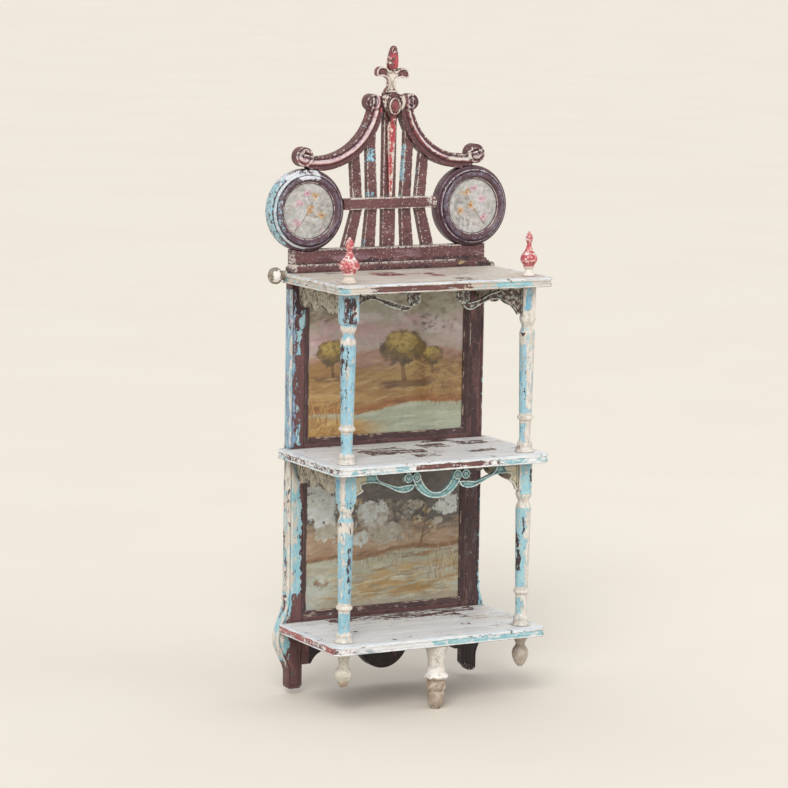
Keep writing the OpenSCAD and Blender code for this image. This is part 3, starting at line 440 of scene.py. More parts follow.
def carve_cartouche(skin):
    """Raised lobes round the oval, and a ridge down the tail."""
    x, y, z = skin.co.T
    rim = skin.rim()
    flat = np.abs(y + 28) < 1.2
    oval = np.hypot(x / 11.5, (z - 362.5) / 15)
    h = -1.8 * ramp(rim, 4.2, 1.0)
    h -= 2.2 * np.exp(-((oval - 1.28) / 0.16) ** 2)
    h += 1.2 * np.exp(-(x / 3.0) ** 2) * ramp(z, 352, 344)
    h -= 1.6 * np.exp(-((np.abs(x) - 9.5) / 1.6) ** 2) * ramp(z, 374, 380)
    skin.co[flat, 1] = y[flat] - h[flat]
    skin.soften(4)


def flower_relief(x, z, cx, cz, r):
    """Six petals round an eye."""
    d = np.hypot(x - cx, z - cz)
    a = np.arctan2(z - cz, x - cx)
    petals = 1.7 * np.abs(np.cos(3 * (a - math.pi / 6))) ** 0.7 * np.exp(-((d - r * 0.62) / (r * 0.3)) ** 2)
    eye = 1.6 * np.exp(-(d / (r * 0.2)) ** 2)
    return np.where(d < r * 1.15, petals + eye - 0.9, 0)


def carve_front_apron(skin, flowers=(), eyes=()):
    """A raised rim, flowers and ringed eyes, on both faces."""
    x, y, z = skin.co.T
    rim = skin.rim()
    for side in (-1, 1):
        plane = COLUMN_Y + 4 * side
        flat = np.abs(y - plane) < 0.9
        h = -1.3 * ramp(rim, 1.4, 3.4) * (z < skin.high[2] - 6)
        for cx, cz, r in flowers:
            h = np.where(np.hypot(x - cx, z - cz) < r * 1.15, flower_relief(x, z, cx, cz, r), h)
        for cx, cz, r in eyes:
            d = np.hypot(x - cx, z - cz)
            h = np.where(d < r, 0.9 - 2.2 * np.exp(-((d - r * 0.58) / 1.3) ** 2), h)
        skin.co[flat, 1] = plane + side * h[flat]
    skin.soften(3)


def carve_side_apron(skin, block_side):
    """Scallop shells with radiating ribs, on both faces."""
    x, y, z = skin.co.T
    top = skin.high[2]
    span = -COLUMN_Y - block_side / 2 - BOARD_DEPTH
    ends = [0, 0.23 * span, 0.49 * span, span]
    s = -BOARD_DEPTH - y
    h = np.zeros(len(x))
    for lo, hi in zip(ends, ends[1:]):
        mid, half = (lo + hi) / 2, (hi - lo) / 2
        u = (s - mid) / half
        v = (top - 2 - z) / 38
        a = np.arctan2(u * 0.9, np.maximum(v, 0.02))
        ribs = np.abs(np.cos(a * 2.5))
        d = np.hypot(u * 0.9, v)
        shell = 2.6 * ribs * ramp(d, 0.1, 0.3) - 1.3 - 1.9 * ramp(d, 0.86, 1.12)
        shell = shell + 1.0 * np.exp(-((d - 0.5) / 0.1) ** 2)
        h = np.where((s >= lo) & (s < hi), shell, h)
    off = np.abs(x) - COLUMN_X
    flat = (np.abs(np.abs(off) - 4) < 0.9) & (z < top - 3.5)
    skin.co[flat, 0] = (np.sign(x) * (COLUMN_X + np.sign(off) * (4 + h - 1.3)))[flat]
    skin.soften(3)


def carve_stile(skin):
    """Bead and groove that follow the outer edge of the front."""
    rim = skin.rim()
    x, y, z = skin.co.T
    outer = (np.abs(x) > 178) | (z < -548)
    front = (y < -19.0) & outer & (z < 63)
    h = -1.5 * np.exp(-((rim - 5.4) / 0.9) ** 2) - 1.1 * ramp(rim, 1.6, 0.0)
    skin.co[front, 1] = -(BOARD_DEPTH + h[front])
    skin.soften(2)


def frame_mat(name, side, carved=False):
    """Frame paint; each stile and the rails get only their own worn places and painted shade."""
    def own(zones):
        def middle(zone):
            return (-230 if zone[0] is None else zone[0]) + (230 if zone[1] is None else zone[1])
        return [z for z in zones if abs(middle(z)) < 150 or middle(z) * side > 0]

    m = Paint(name, "#694544 #56393a #7b544f", 30, (1, 1, 0.3), seed=1, carved=carved)
    m.coat("#3d282b #4a3033", 0.14, 16, (1, 1, 0.3), zones=own([
        (-188, -160, 8, 30, 0.25, 6), (160, 192, -300, 60, 0.12, 6), (160, 200, -600, -240, 0.22, 8),
        (-168, -158, -480, -320, 0.2, 3)]), thick=0.2)
    # Near-black over the bottom rail and the feet under the bottom shelf: painted shadow.
    m.coat("#2b1f22 #221a1c", 0.001, 20, thick=0, zones=own([
        (-150, 215, -660, -549, 0.45, 4), (-180, -160, -660, -560, 0.1, 8)]))
    m.coat("#8abcc8 #a8c9cb #6faac5", 0.012, 11, (1, 1, 0.26), edge=0.04, tint=9, zones=own([
        (None, -187, -250, 52, 0.26, 1.5), (-173, -162, -14, 16, 0.3, 3), (-179, -168, -40, 4, 0.26, 3),
        (-180, -171, -64, -20, 0.28, 3), (-194, -181, -92, -20, 0.26, 4), (-192, -184, -225, -90, 0.14, 3),
        (-180, -170, -218, -181, 0.3, 2.5), (-179, -173, -118, -105, 0.24, 2), (-179, -172, -176, -148, 0.24, 2),
        (-194, -166, -480, -240, 0.4, 3), (-190, -166, -522, -470, 0.2, 5), (None, -186, -600, -250, 0.2, 2),
        (-218, -197, -600, -490, 0.2, 4), (188.8, None, -150, 20, 0.14, 3), (189, None, -200, -44, 0.1, 4),
        (188.6, None, -235, -96, 0.08, 4), (189, None, -240, -160, 0.1, 5), (189, None, -548, -240, 0.2, 3),
        (189.4, None, -600, -320, 0.08, 4), (192, None, -640, -470, 0.12, 5), (174, 190, -345, -290, 0.14, 5)]))
    m.coat("#7d97b4 #90a8bb #6c7f9c", 0.01, 6, (1, 1, 0.22), tint=6, thick=0.3, zones=own([
        (-198, -181, -225, 50, 0.27, 3), (-181, -166, -225, 10, 0.1, 3), (-198, -186, -520, -240, 0.13, 2)]))
    m.coat("#dfd7cb #cdc0b0 #c6d4d2", 0.02, 6, (1, 1, 0.24), edge=0.13, tint=7, zones=own([
        (-180, -170, -32, -24, 0.25, 2), (-192, -168, -460, -250, 0.14, 4), (-190, -176, -390, -318, 0.12, 4),
        (-192, -180, -475, -435, 0.2, 4), (-200, -187, -560, -240, 0.15, 1.5), (-196, -187, -220, 50, 0.13, 1.5),
        (160, 168, -60, -8, 0.12, 2), (None, -200, -648, -500, 0.17, 3), (None, -190, -652, -545, 0.1, 3),
        (170, 212, -648, -620, 0.08, 4), (-196, -164, -300, -246, 0.1, 4)]), thick=0.6)
    # Greyish paint on the lower right stile and the left foot; on the foot, under the bottom shelf, it is painted
    # shade.
    m.coat("#4f4a4a #5d5655 #45403f", 0.03, 7, (1, 1, 0.4), tint=6, thick=-0.2, zones=own([
        (160, 200, -600, -240, 0.13, 4), (-212, -160, -660, -566, 0.13, 6)]))
    m.coat("#4a3135 #5d3f41", 0.02, 6, (1, 1, 0.3), thick=-0.8, zones=own([
        (-200, -165, -480, -245, 0.09, 4), (-202, -187, -500, -245, 0.08, 3), (-199, -186, -225, 40, 0.07, 3)]))
    m.flecks(0.03)
    m.dust(0.012, 1.8, "#cdd6d2 #b8a99c")
    m.dirt_and_shade("#24171a", 0.6)
    return m.finish((0.42, 0.64), stretch=(1, 1, 0.3))


def moulding_mat(name, warm, low, high, seed):
    """A moulding round a pane, with paler arrises and one worn length."""
    m = Paint(name, "#4f3638 #3f2b2d #614542", 24, (0.4, 1, 0.4), seed=seed)
    m.coat("#a08a7c #83706a #b9a997", 0.04, 9, (0.3, 1, 0.3), edge=0.24, zones=[warm], thick=0.5)
    m.coat("#a98f80 #c0a997 #8a7266", 0.002, 8, (0.3, 1, 0.3), tint=6, zones=[
        (-155, -152.6, low, high, 0.3, 0.5), (152.6, 155, low, high, 0.3, 0.5),
        (-155, 155, low - 1, low + 1.4, 0.3, 0.5), (-155, 155, high - 1.4, high + 1, 0.25, 0.5)])
    m.coat("#6d5450 #5b4443", 0.1, 6, (0.3, 1, 0.3), tint=6, thick=0)
    m.coat("#8fa8a4 #a9b5ac", 0.01, 6, (0.4, 1, 0.4), edge=0.04, zones=[warm])
    m.flecks(0.02)
    m.dirt_and_shade("#1f1416", 0.6)
    return m.finish((0.4, 0.6), stretch=(0.4, 1, 0.4))


def shelf_mat(node, seed, top, warm, reds, darks, face, sides):
    """A worn shelf: streaks on the board's top, and other layers on its front and side edges, with a painted highlight
    along the nosing and painted shade in its groove, along the border of the top and at the back.
    """
    base = "#d6cfc4 #c6baac #e4e0da" if top > 0 else "#e6e6e5 #d9d9d8 #f0f0f0"
    m = Paint(node + "_paint", base, 26, (0.2, 1, 1), seed=seed)
    m.warp = 24
    m.along = True
    board = (top - 3, top + 6)
    # Tan streaks on the board's top; the warm zones at the back of the board add painted shade there.
    m.coat("#beb09f #b09c86 #cbbdab", 0.22 if top > 0 else 0.1, 16, (0.16, 1, 1), thick=0.1, sharp=0.07, zones=[
        (x0, x1, *board, k, 8, y0, y1) for x0, x1, y0, y1, k in warm])
    m.coat("#aeb2b3 #9aa3a8", 0.12, 9, (0.14, 1, 1), thick=0.1, sharp=0.06)
    m.coat("#8f7a6e #7a645b", 0.045 if top > 0 else 0.015, 5, (0.12, 1, 1), thick=-0.3, sharp=0.04)
    if reds:
        m.coat("#93665c #7e4d47 #a87d70", 0.0002, 9, (0.16, 1, 1), thick=-0.5, sharp=0.05, zones=[
            (x0, x1, *board, k + 0.08, 6, y0, y1) for x0, x1, y0, y1, k in reds])
    m.coat("#54393a #64443f #3f2c2e", 0.016, 8, (0.26, 1, 1), thick=-1, tint=7, zones=[
        (x0, x1, *board, k + 0.05, 4, y0, y1) for x0, x1, y0, y1, k in darks])
    lo, hi = face
    m.coat("#6a4241 #7a504b #533537", 0.001, 7, (0.3, 1, 1), thick=-0.4, tint=7, zones=[
        (x0, x1, lo, hi, k, 1.2, -240, -222) for x0, x1, kind, k in sides if kind == "red"] + [
        (None, -203, lo, hi, 0.26 if top > 0 else 0.36, 1.2, -225, -10)])
    m.coat("#8dbcc6 #a9cccd #6daac4", 0.003, 6, (0.35, 0.35, 1), thick=0.3, tint=7, zones=[
        (x0, x1, lo, hi, k, 1.2, -240, -222) for x0, x1, kind, k in sides if kind == "cyan"] + [
        (None, None, lo - 3, lo + 0.8, 0.19, 0.6), (None, None, lo, hi, 0.07, 1, None, -222),
        (203, None, lo, hi, 0.2, 1.5, -225, -10), (None, -203, lo, hi, 0.24, 1.5, -225, -10)])
    if top < -500:
        m.coat("#b5706b #a3585a #c98f86", 0.001, 14, (1, 0.35, 1), thick=-0.2, sharp=0.05, zones=[
            (None, -203, lo - 1, hi + 1, 0.42, 1.5, -225, -10), (-206, -168, lo, hi, 0.32, 1.5, -240, -222)])
    # Dark paint in patches on the front and the left end; the dark line in the groove under the nosing and the line
    # along the border of the top are painted shade.
    m.coat("#46302f #5c4240 #3a292b", 0.01, 6, (0.35, 0.35, 1), thick=-0.7, zones=[
        (None, None, hi - 0.2, hi + 1.4, 0.12, 0.6), (None, None, lo - 1, hi + 1, 0.075, 1, None, -222),
        (None, -195, lo - 1, hi + 1, 0.12, 1), (-200, 200, *board, 0.06, 1.5, -216, -207)])
    # Pale band along the rounded nosing and the front top edge: painted highlight, with worn edges.
    m.coat("#e9eef2 #d8e0e6 #f0efec", 0.03, 6, (0.3, 0.5, 1), edge=0.06, thick=0.4, zones=[
        (None, None, hi + 0.9, top - 0.2, 0.22, 0.6), (None, None, lo - 1, lo + 0.6, 0.08, 0.5),
        (-206, 206, top - 1, top + 1, 0.16, 1, -232, -226)])
    m.flecks(0.02, "#5c4341 #463234", -0.6)
    m.coat("#3f302e #5c463c", 0.1, 24, zones=[(None, None, top - 17, top - 15.6, 0.3, 0.4)])
    m.dirt_and_shade("#54443c", 0.5)
    return m.finish((0.38, 0.6), stretch=(0.25, 1, 1))


def column_mat(name, cx, base, creams, darks, blues, seed):
    """Zones are (a0, a1, z0, z1, amount): a runs across the column as seen from the front left."""
    m = Paint(name, base, 5, (1, 1, 0.3), seed=seed, carved=True)
    m.warp = 13
    world = m.p
    turned = m.node("ShaderNodeMapping", vector_type="TEXTURE")
    m.put(turned.inputs["Vector"], world)
    turned.inputs["Location"].default_value = (cx, COLUMN_Y, 0)
    turned.inputs["Rotation"].default_value = (0, 0, -YAW)
    m.p = turned.outputs[0]
    m.coat("#6ba7c2 #8ab8c9", 0.16, 6, (1, 1, 0.28), tint=5,
           zones=[(a, b, c, d, e * 0.7, 4) for a, b, c, d, e in blues])
    m.coat("#dcd6cb #cac0b4 #e6e6e2", 0.24, 5, (1, 1, 0.3), edge=0.05, tint=6,
           zones=[(a, b, c, d, e * 0.72, 3) for a, b, c, d, e in creams])
    m.coat("#9cc3ca #b4cdcb", 0.1, 5, (1, 1, 0.4))
    m.coat("#8f7f73 #a5917f", 0.07, 3.6, (1, 1, 0.35), thick=-0.4, sharp=0.04)
    m.coat("#3d2a30 #54373a #30242b", 0.05, 4.6, (1, 1, 0.42), thick=-1,
           zones=[(a, b, c, d, e * 0.94, 2.5) for a, b, c, d, e in darks])
    m.coat("#ece7df #d8cbbd", 0.03, 5, edge=0.15)
    m.flecks(0.045, "#4a3536 #6a4a45", -0.6)
    m.p = world
    m.dirt_and_shade("#5c4a40", 0.45)
    return m.finish((0.38, 0.6), stretch=(1, 1, 0.3))


def crest_mat(name, carved):
    m = Paint(name, "#6b4344 #5a373b #7a4f4c", 20, (0.5, 1, 0.8), seed=4, carved=carved)
    m.coat("#86636b #94757a", 0.05, 14, (0.16, 1, 1), thick=0.1, sharp=0.08, zones=[
        (-190, 60, 100, 114, 0.15, 3), (60, 190, 102, 112, 0.07, 3)])
    m.coat("#452c30 #38262a", 0.1, 12, (0.3, 1, 0.6), thick=0, zones=[
        (-200, 200, 93, 98, 0.13, 2), (-200, 200, 80, 86, 0.13, 2)])
    m.coat("#8cc8df #a4d0dc #6cb4da", 0.006, 3.6, edge=0.03, tint=4, zones=[
        (-46, -30, 266, 292, 0.34, 4), (21, 30, 232, 296, 0.34, 3), (50, 59, 240, 296, 0.24, 3),
        (-46, -30, 204, 217, 0.3, 3), (-9, 7, 203, 214, 0.24, 2), (13, 28, 203, 214, 0.24, 2),
        (74, 80, 262, 270, 0.16, 2),
        (-58, -46, 119, 134, 0.24, 2), (-72, -60, 215, 262, 0.1, 3), (-202, -186, 78, 100, 0.14, 4)])
    m.coat("#e0d8cf #c9baac #c4c9ca", 0.055, 3.4, edge=0.17, tint=6, zones=[
        (-80, 80, 202.5, 206, 0.24, 1), (-80, 80, 184, 187, 0.2, 1), (70, 92, 184, 206, 0.16, 4),
        (-140, 140, 116, 120, 0.2, 1.2), (-200, 130, 90.5, 94, 0.2, 1), (-195, -184, 82, 116, 0.18, 3),
        (-74, -50, 205, 222, 0.12, 4), (46, 56, 205, 282, 0.12, 2), (-42, -24, 206, 270, 0.06, 4),
        (-12, -2, 206, 380, 0.06, 4), (16, 26, 206, 330, 0.06, 4)])
    m.coat("#9c8456 #b59c72", 0.001, 8, (0.4, 1, 1), zones=[(132, 196, 84, 95, 0.28, 3)])
    m.flecks(0.085)
    m.dust(0.04, 1.7, "#cdd6d6 #b8a99c")
    m.dirt_and_shade("#1d1215", 0.75)
    return m.finish((0.42, 0.6))


def arm_mat():
    """Bands of colour that follow the arc, among them a painted highlight along the ridge and painted shade in the
    groove, and worn spots.
    """
    m = Paint("arm_paint", "#663f42 #553338 #744846", 24, seed=14, carved=True)
    across = m.split(m.vec("ABSOLUTE", m.p))[0]
    x, y, z = m.split(m.p)
    flat = m.node("ShaderNodeCombineXYZ", {0: across, 2: z}).outputs[0]
    t = m.math("DIVIDE", m.math("SUBTRACT", m.vec("DISTANCE", flat, (ARM_X, 0, ARM_Z)), ARM_R), ARM_WIDTH)

    front = m.step(y, -19, -20.5)
    left = m.step(x, 20, -20)
    for colours, place, width, cover, amount, size, thick in (
            # Dark purple in the groove beside the ridge: painted shade.
            ("#5a4350 #47333d #75606c", 0.2, 0.13, 0.02, 0.42, 12, 0.1),
            ("#a05358 #8d454b #b06c6d", 0.58, 0.18, 0.02, (0.26, 0.4), 8, 0.1),
            # Pale pink along the ridge: painted highlight, stronger on the left arm.
            ("#dfcbc9 #c9a9aa #ece3e0", 0.39, 0.2, 0.012, (0.37, 0.66), 6, 0.3),
            ("#b7a0b0 #a78b98", 0.33, 0.12, 0.01, 0.3, 8, 0.1),
            ("#e0d6d0 #c4b0ad", 0.04, 0.09, 0.02, 0.42, 5, 0.4),
            ("#e0d6cc #c4b0a2", 0.99, 0.07, 0.02, 0.3, 4, 0.4)):
        if isinstance(amount, tuple):       # right arm, left arm
            amount = m.step(left, 0, 1, *amount)
        m.lead(colours, m.math("MULTIPLY", m.near(t, place, width), front), cover, amount, size, thick)
    m.coat("#a9c4d4 #c9d6dc", 0.003, 8, zones=[(-60, -44, 325, 352, 0.22, 3)])
    m.coat("#b5505a #c8737a", 0.01, 8, zones=[(-50, -16, 340, 366, 0.2, 5), (-186, -165, 268, 296, 0.14, 5),
                                                  (36, 52, 352, 366, 0.18, 4), (-110, -75, 258, 280, 0.12, 5)])
    m.coat("#4b2f33 #3b262a", 0.06, 6, zones=[(-190, -148, 256, 298, 0.06, 5)])
    m.coat("#e0d6ce #cbb9b3", 0.03, 4.5, edge=0.16, zones=[
        (-190, -150, 260, 296, 0.05, 5), (110, 172, 266, 276, 0.2, 3)])
    m.flecks(0.05)
    m.dirt_and_shade("#1d1215", 0.75)
    return m.finish((0.42, 0.6))


def roundel_mat(name, cx, seed, whites):
    """Rings of colour round the glass. The left one is also worn on its outer side."""
    m = Paint(name, "#4e333a #5e4350 #40292f", 30, seed=seed)
    x, y, z = m.split(m.p)
    flat = m.node("ShaderNodeCombineXYZ", {0: x, 2: z}).outputs[0]
    r = m.vec("DISTANCE", flat, (cx, 0, ROUNDEL_Z))
    front = m.step(y, -19.5, -20.2)
    for colours, radius, width, cover, amount, size in (
            # Lilac bands on the ring's bead: the paint's own tone, with a painted sheen.
            ("#706879 #5c4f5e #8b8591", 58, 6, 0.1, 0.15, 9),
            ("#a7a3b0 #8b8692", 58, 6, 0.05, 0.06, 5),
            ("#dcd6d8 #b9b2bc", 63.6, 0.9, 0.001, 0.4, 10),
            ("#e3dcd2 #b9a99c", 49.3, 0.9, 0.001, 0.38, 8),
            ("#d9d0cc #b9adb0", 69.5, 1.0, 0.001, 0.26, 8)):
        mask = m.math("MULTIPLY", m.near(r, radius, width, width * 0.35), front)
        m.lead(colours, mask, cover, amount, size, 0.3)
    if cx < 0:
        away = m.step(x, -165, -215)
        for colours, band, reach, amount, size in (
                ("#8fbdc9 #a9c9cc #78aec6", m.step(r, 66.5, 67.5), away, 0.33, 7),
                ("#d5dade #bcc8ce", m.near(r, 64.2, 2.6, 1.2), m.step(x, -140, -185), 0.44, 6),
                ("#57393f #6a484b", m.near(r, 68, 1.1, 0.4), away, 0.3, 9)):
            mask = m.math("MULTIPLY", band, reach)
            f = m.step(m.math("MULTIPLY_ADD", mask, amount, m.noise(size, 7, 0.68)), 0.76, 0.82)
            m.colour = m.mix(f, m.colour, m.blend_of(colours, 8))
    m.coat("#8fbdcc #a9c9d0 #74aecb", 0.006, 7,
           zones=[(*place, amount * 1.5, soft) for *place, amount, soft in whites if soft > 3])
    m.coat("#dcdee2 #c4cad2 #ebeae9", 0.015, 6, edge=0.08, zones=whites)
    m.flecks(0.045)
    m.dirt_and_shade("#1d1215", 0.6)
    return m.finish((0.34, 0.52), coat=0.1)


def carving_mat(name, base, creams, reds, seed):
    m = Paint(name, base, 14, seed=seed, carved=True)
    m.coat("#b03840 #c2535a #96303a", 0.06, 6, zones=reds)
    m.coat("#e2d8cc #cdbcae #ece7e0", 0.07, 5, edge=0.22, tint=8, zones=creams)
    m.coat("#4a2c30 #5c3a3b", 0.05, 4, thick=-0.4)
    m.flecks(0.06)
    m.dirt_and_shade("#24141a", 0.75, 0.007)
    return m.finish((0.34, 0.54))


def apron_mat(name, seed, base, dark, dark_cover, pale, pale_cover, edge, edge_amount, zones=()):
    m = Paint(name, base, 9, seed=seed, carved=True)
    m.coat(dark, dark_cover, 6, thick=-0.3)
    m.coat(pale, pale_cover, 6, tint=8, thick=0.3, zones=zones)
    m.coat(edge, 0.05, 5, edge=edge_amount, tint=7)
    m.flecks(0.05, "#3a2b2a #54403a", -0.5)
    m.dirt_and_shade("#1f1817", 0.85, 0.01)
    return m.finish((0.42, 0.62))


def turning_mat(name, base, browns, seed, whites=()):
    m = Paint(name, base, 9, seed=seed, carved=True)
    m.coat("#a89682 #927e6b #b8a692", 0.14, 9, thick=-0.3, sharp=0.09, zones=browns)
    m.coat("#aab3a8 #979f92", 0.06, 6, thick=0.1, sharp=0.05)
    m.coat("#efece6 #dfd6ca", 0.07, 6, edge=0.13, zones=whites)
    m.flecks(0.035, "#4f4038 #6b5648", -0.5)
    m.dirt_and_shade("#4a3d34", 0.55)
    return m.finish((0.38, 0.58))


def finial_mat():
    m = Paint("finial_paint", "#bb4d56 #a53e49 #d0716f", 10, seed=9, carved=True)
    m.coat("#d98d88 #e0a49c #c9706f", 0.35, 5, (1, 1, 1.4), thick=0.1, tint=5)
    m.coat("#e6d6cf #eee5df #dcbab3", 0.26, 6.5, (1, 1, 1.5), edge=0.08, thick=0.4, tint=5, zones=[
        (None, None, 118, 128, 0.06, 3)])
    m.coat("#cfae8f #dcc6ad", 0.001, 8, zones=[(None, None, 96, 106, 0.22, 2)])
    m.coat("#e6ddd2 #d3c4b3 #f0ece6", 0.001, 8, zones=[(None, None, 60, 97, 0.5, 1.5)])
    m.coat("#8f9a8c #6a6f66", 0.001, 7, zones=[(None, None, 78, 96, 0.06, 2)])
    m.dirt_and_shade("#4a2326", 0.5)
    return m.finish((0.38, 0.56))


def board_mat():
    m = Paint("raw_board", "#8d7458 #78603f #a18a69", 40, (1, 1, 0.12), seed=10)
    m.coat("#54422f #463725", 0.1, 12, (1, 1, 0.15))
    m.dirt_and_shade("#2c2119", 0.6)
    return m.finish((0.7, 0.85), stretch=(1, 1, 0.15))


def metal_mat():
    m = Paint("fixings", "#5a5047 #6d655c #483d36", 8, seed=11)
    m.coat("#6b3f26 #8a5532", 0.25, 5)
    m.bsdf.inputs["Metallic"].default_value = 0.6
    return m.finish((0.45, 0.7), grain_size=0.7)


def glass_mat(name, size, wear):
    """Reverse-painted glass: the picture comes from the pane's own colour layer."""
    m = Paint(name, "#b9b3a0 #c9c1ac", 50, seed=12)
    pic = m.attribute("picture", "Color")
    m.colour = m.mix(m.step(m.noise(size, 6, 0.7, (0.6, 1, 1.6)), 0.3, 0.7, 0.0, 0.35), pic,
                     m.mix(m.step(m.noise(size * 0.5, 6, 0.7), 0.4, 0.6), m.vec("MULTIPLY", pic, (0.78, 0.74, 0.66)),
                           m.vec("MULTIPLY", pic, (1.16, 1.14, 1.1))))
    m.coat("#b4b09c #c4bfae", wear, size * 0.6, thick=0)
    m.coat("#4a3b2e #5e4a38", 0.006, 4, thick=0)
    m.dirt_and_shade("#241c18", 0.6, 0.01)
    m.height = 0.0
    return m.finish((0.1, 0.2), depth=0.05, coat=0.5)


def value_noise(x, z, seed):
    """Smooth noise that repeats after TABLE steps."""
    table = np.random.default_rng(seed).random((TABLE, TABLE))
    i, j = np.floor(x).astype(int), np.floor(z).astype(int)
    u, v = x - i, z - j
    u, v = u * u * (3 - 2 * u), v * v * (3 - 2 * v)
    i, i2, j, j2 = i % TABLE, (i + 1) % TABLE, j % TABLE, (j + 1) % TABLE
    a, b, c, d = table[i, j], table[i2, j], table[i, j2], table[i2, j2]
    return (a * (1 - u) + b * u) * (1 - v) + (c * (1 - u) + d * u) * v


def cloud(x, z, size, seed, stretch=1.0):
    """Noise in five layers, each half as large as the one before."""
    total, weight, out = 0.0, 1.0, 0.0
    for k in range(5):
        out = out + weight * value_noise(x / size / stretch * 2 ** k + 17, z / size * 2 ** k + 29, seed + k)
        total += weight
        weight *= 0.6
    return out / total


class Canvas:
    """Points of a pane and the colour of each."""

    def __init__(self, x, z, base):
        self.x, self.z = x, z
        self.rgb = np.tile(np.array(rgb(base)[:3]), (len(x), 1))

    def lay(self, mask, codes, size=12, seed=1, stretch=2.5):
        """Lays colours over the masked part, drifting between them like brushwork."""
        codes = codes.split()
        c = np.array(rgb(codes[0])[:3])
        if len(codes) > 1:
            f = ramp(cloud(self.x, self.z, size, seed, stretch), 0.38, 0.62)[:, None]
            c = c * (1 - f) + np.array(rgb(codes[1])[:3]) * f
        m = np.clip(mask, 0, 1)[:, None]
        self.rgb = self.rgb * (1 - m) + c * m

    def above(self, height, soft=3.0):
        return ramp(self.z, height - soft, height + soft)

    def left(self, place, soft=12.0):
        return ramp(self.x, place + soft, place - soft)

    def ragged(self, size, seed, cover, sharp=0.03, stretch=1.0):
        return ramp(cloud(self.x, self.z, size, seed, stretch), 1 - cover - sharp, 1 - cover + sharp)

    def blot(self, cx, cz, rx, rz, seed, rough=0.5, soft=0.12, turn=0.0):
        c, s = math.cos(turn), math.sin(turn)
        u, v = (self.x - cx) * c + (self.z - cz) * s, -(self.x - cx) * s + (self.z - cz) * c
        d = np.hypot(u / rx, v / rz) + (cloud(self.x, self.z, max(rx, rz) * 0.45, seed) - 0.5) * 2 * rough
        return ramp(d, 1 + soft, 1 - soft)

    def dabs(self, seed, count, cx, cz, wx, wz, rx, rz, codes, strength=0.8, turn=0.0, spread=0.4, round_=False):
        """Many small brush touches in a box, or in an ellipse when round_ is set."""
        rng = np.random.default_rng(seed)
        codes = codes.split()
        for k in range(count):
            a, d = rng.uniform(0, 6.283), math.sqrt(rng.random())
            if round_:
                x, z = cx + wx * d * math.cos(a), cz + wz * d * math.sin(a)
            else:
                x, z = cx + rng.uniform(-wx, wx), cz + rng.uniform(-wz, wz)
            w, h, t = rx * rng.uniform(0.5, 1.3), rz * rng.uniform(0.6, 1.3), turn + rng.uniform(-spread, spread)
            reach = max(w, h) * 1.5
            at = np.flatnonzero((np.abs(self.x - x) < reach) & (np.abs(self.z - z) < reach))
            if len(at) == 0:
                continue
            px, pz = self.x[at] - x, self.z[at] - z
            u, v = px * math.cos(t) + pz * math.sin(t), -px * math.sin(t) + pz * math.cos(t)
            m = np.hypot(u / w, v / h) + (value_noise(self.x[at] / 2.2 + k, self.z[at] / 2.2, seed) - 0.5) * 0.9
            m = (ramp(m, 1.15, 0.7) * strength * rng.uniform(0.6, 1.0))[:, None]
            self.rgb[at] = self.rgb[at] * (1 - m) + np.array(rgb(codes[int(rng.integers(len(codes)))])[:3]) * m

    def stroke(self, points, width, codes, strength=0.85, soft=0.8):
        """A tapering stroke along a few points."""
        p = np.array(points, dtype=float)
        best = np.full(len(self.x), 1e9)
        for (x0, z0), (x1, z1), k in zip(p, p[1:], range(len(p))):
            dx, dz = x1 - x0, z1 - z0
            t = np.clip(((self.x - x0) * dx + (self.z - z0) * dz) / (dx * dx + dz * dz), 0, 1)
            w = width * (1 - 0.7 * (k + t) / (len(p) - 1))
            best = np.minimum(best, np.hypot(self.x - x0 - t * dx, self.z - z0 - t * dz) - w)
        self.lay(ramp(best, soft, -soft) * strength, codes, size=5)

    def worn(self, seed):
        """Fine mottling, small dark losses and a faint craze over the whole picture."""
        f = 0.84 + 0.32 * cloud(self.x, self.z, 5, seed, 1.6)
        self.rgb = self.rgb * f[:, None]
        self.lay(self.ragged(5, seed + 9, 0.2, 0.04) * 0.35, "#c9c1ae")
        self.lay(self.ragged(4, seed + 19, 0.13, 0.03) * 0.6, "#54453a")


def grass(c, seed, x0, x1, z0, z1, n, length, codes):
    """Leaning blades, each painted on the points near it."""
    codes = codes.split()
    rng = np.random.default_rng(seed)
    for _ in range(n):
        x, z = rng.uniform(x0, x1), rng.uniform(z0, z1)
        lean, h = rng.uniform(-0.5, 0.5), length * rng.uniform(0.5, 1.1)
        at = np.flatnonzero((np.abs(c.x - x) < 25) & (np.abs(c.z - z) < 35))
        part = Canvas(c.x[at], c.z[at], "#000000")
        part.rgb = c.rgb[at]
        part.stroke([(x, z), (x + lean * h * 0.4, z + h * 0.6), (x + lean * h, z + h)], 0.8,
                    codes[int(rng.integers(len(codes)))], strength=0.6, soft=0.8)
        c.rgb[at] = part.rgb


def tree(c, x, z, r, seed):
    """A round golden crown over a short trunk."""
    c.stroke([(x + r * 0.05, z - r * 1.45), (x - r * 0.05, z - r * 0.8), (x + r * 0.04, z)], r * 0.12,
             "#5b3c22 #7a5530")
    c.stroke([(x, z - r * 0.8), (x + r * 0.3, z - r * 0.4), (x + r * 0.5, z)], r * 0.07, "#5b3c22")
    for k, (tones, count, wx, wz, up, size) in enumerate((
            ("#584421 #6b5229 #4b3a1f", 70, 0.95, 0.62, -0.08, 0.2),
            ("#7d6230 #8d7038 #6d5428", 110, 0.85, 0.55, 0.05, 0.14),
            ("#a28641 #957a3b #b3974f", 90, 0.68, 0.42, 0.16, 0.1),
            ("#c2a65c #b79b52", 40, 0.5, 0.3, 0.26, 0.07))):
        c.dabs(seed + k, count, x - r * 0.05 * k, z + r * up, r * wx, r * wz, r * size * 1.3, r * size * 0.8, tones,
               0.85, 0.5, 1.2, round_=True)


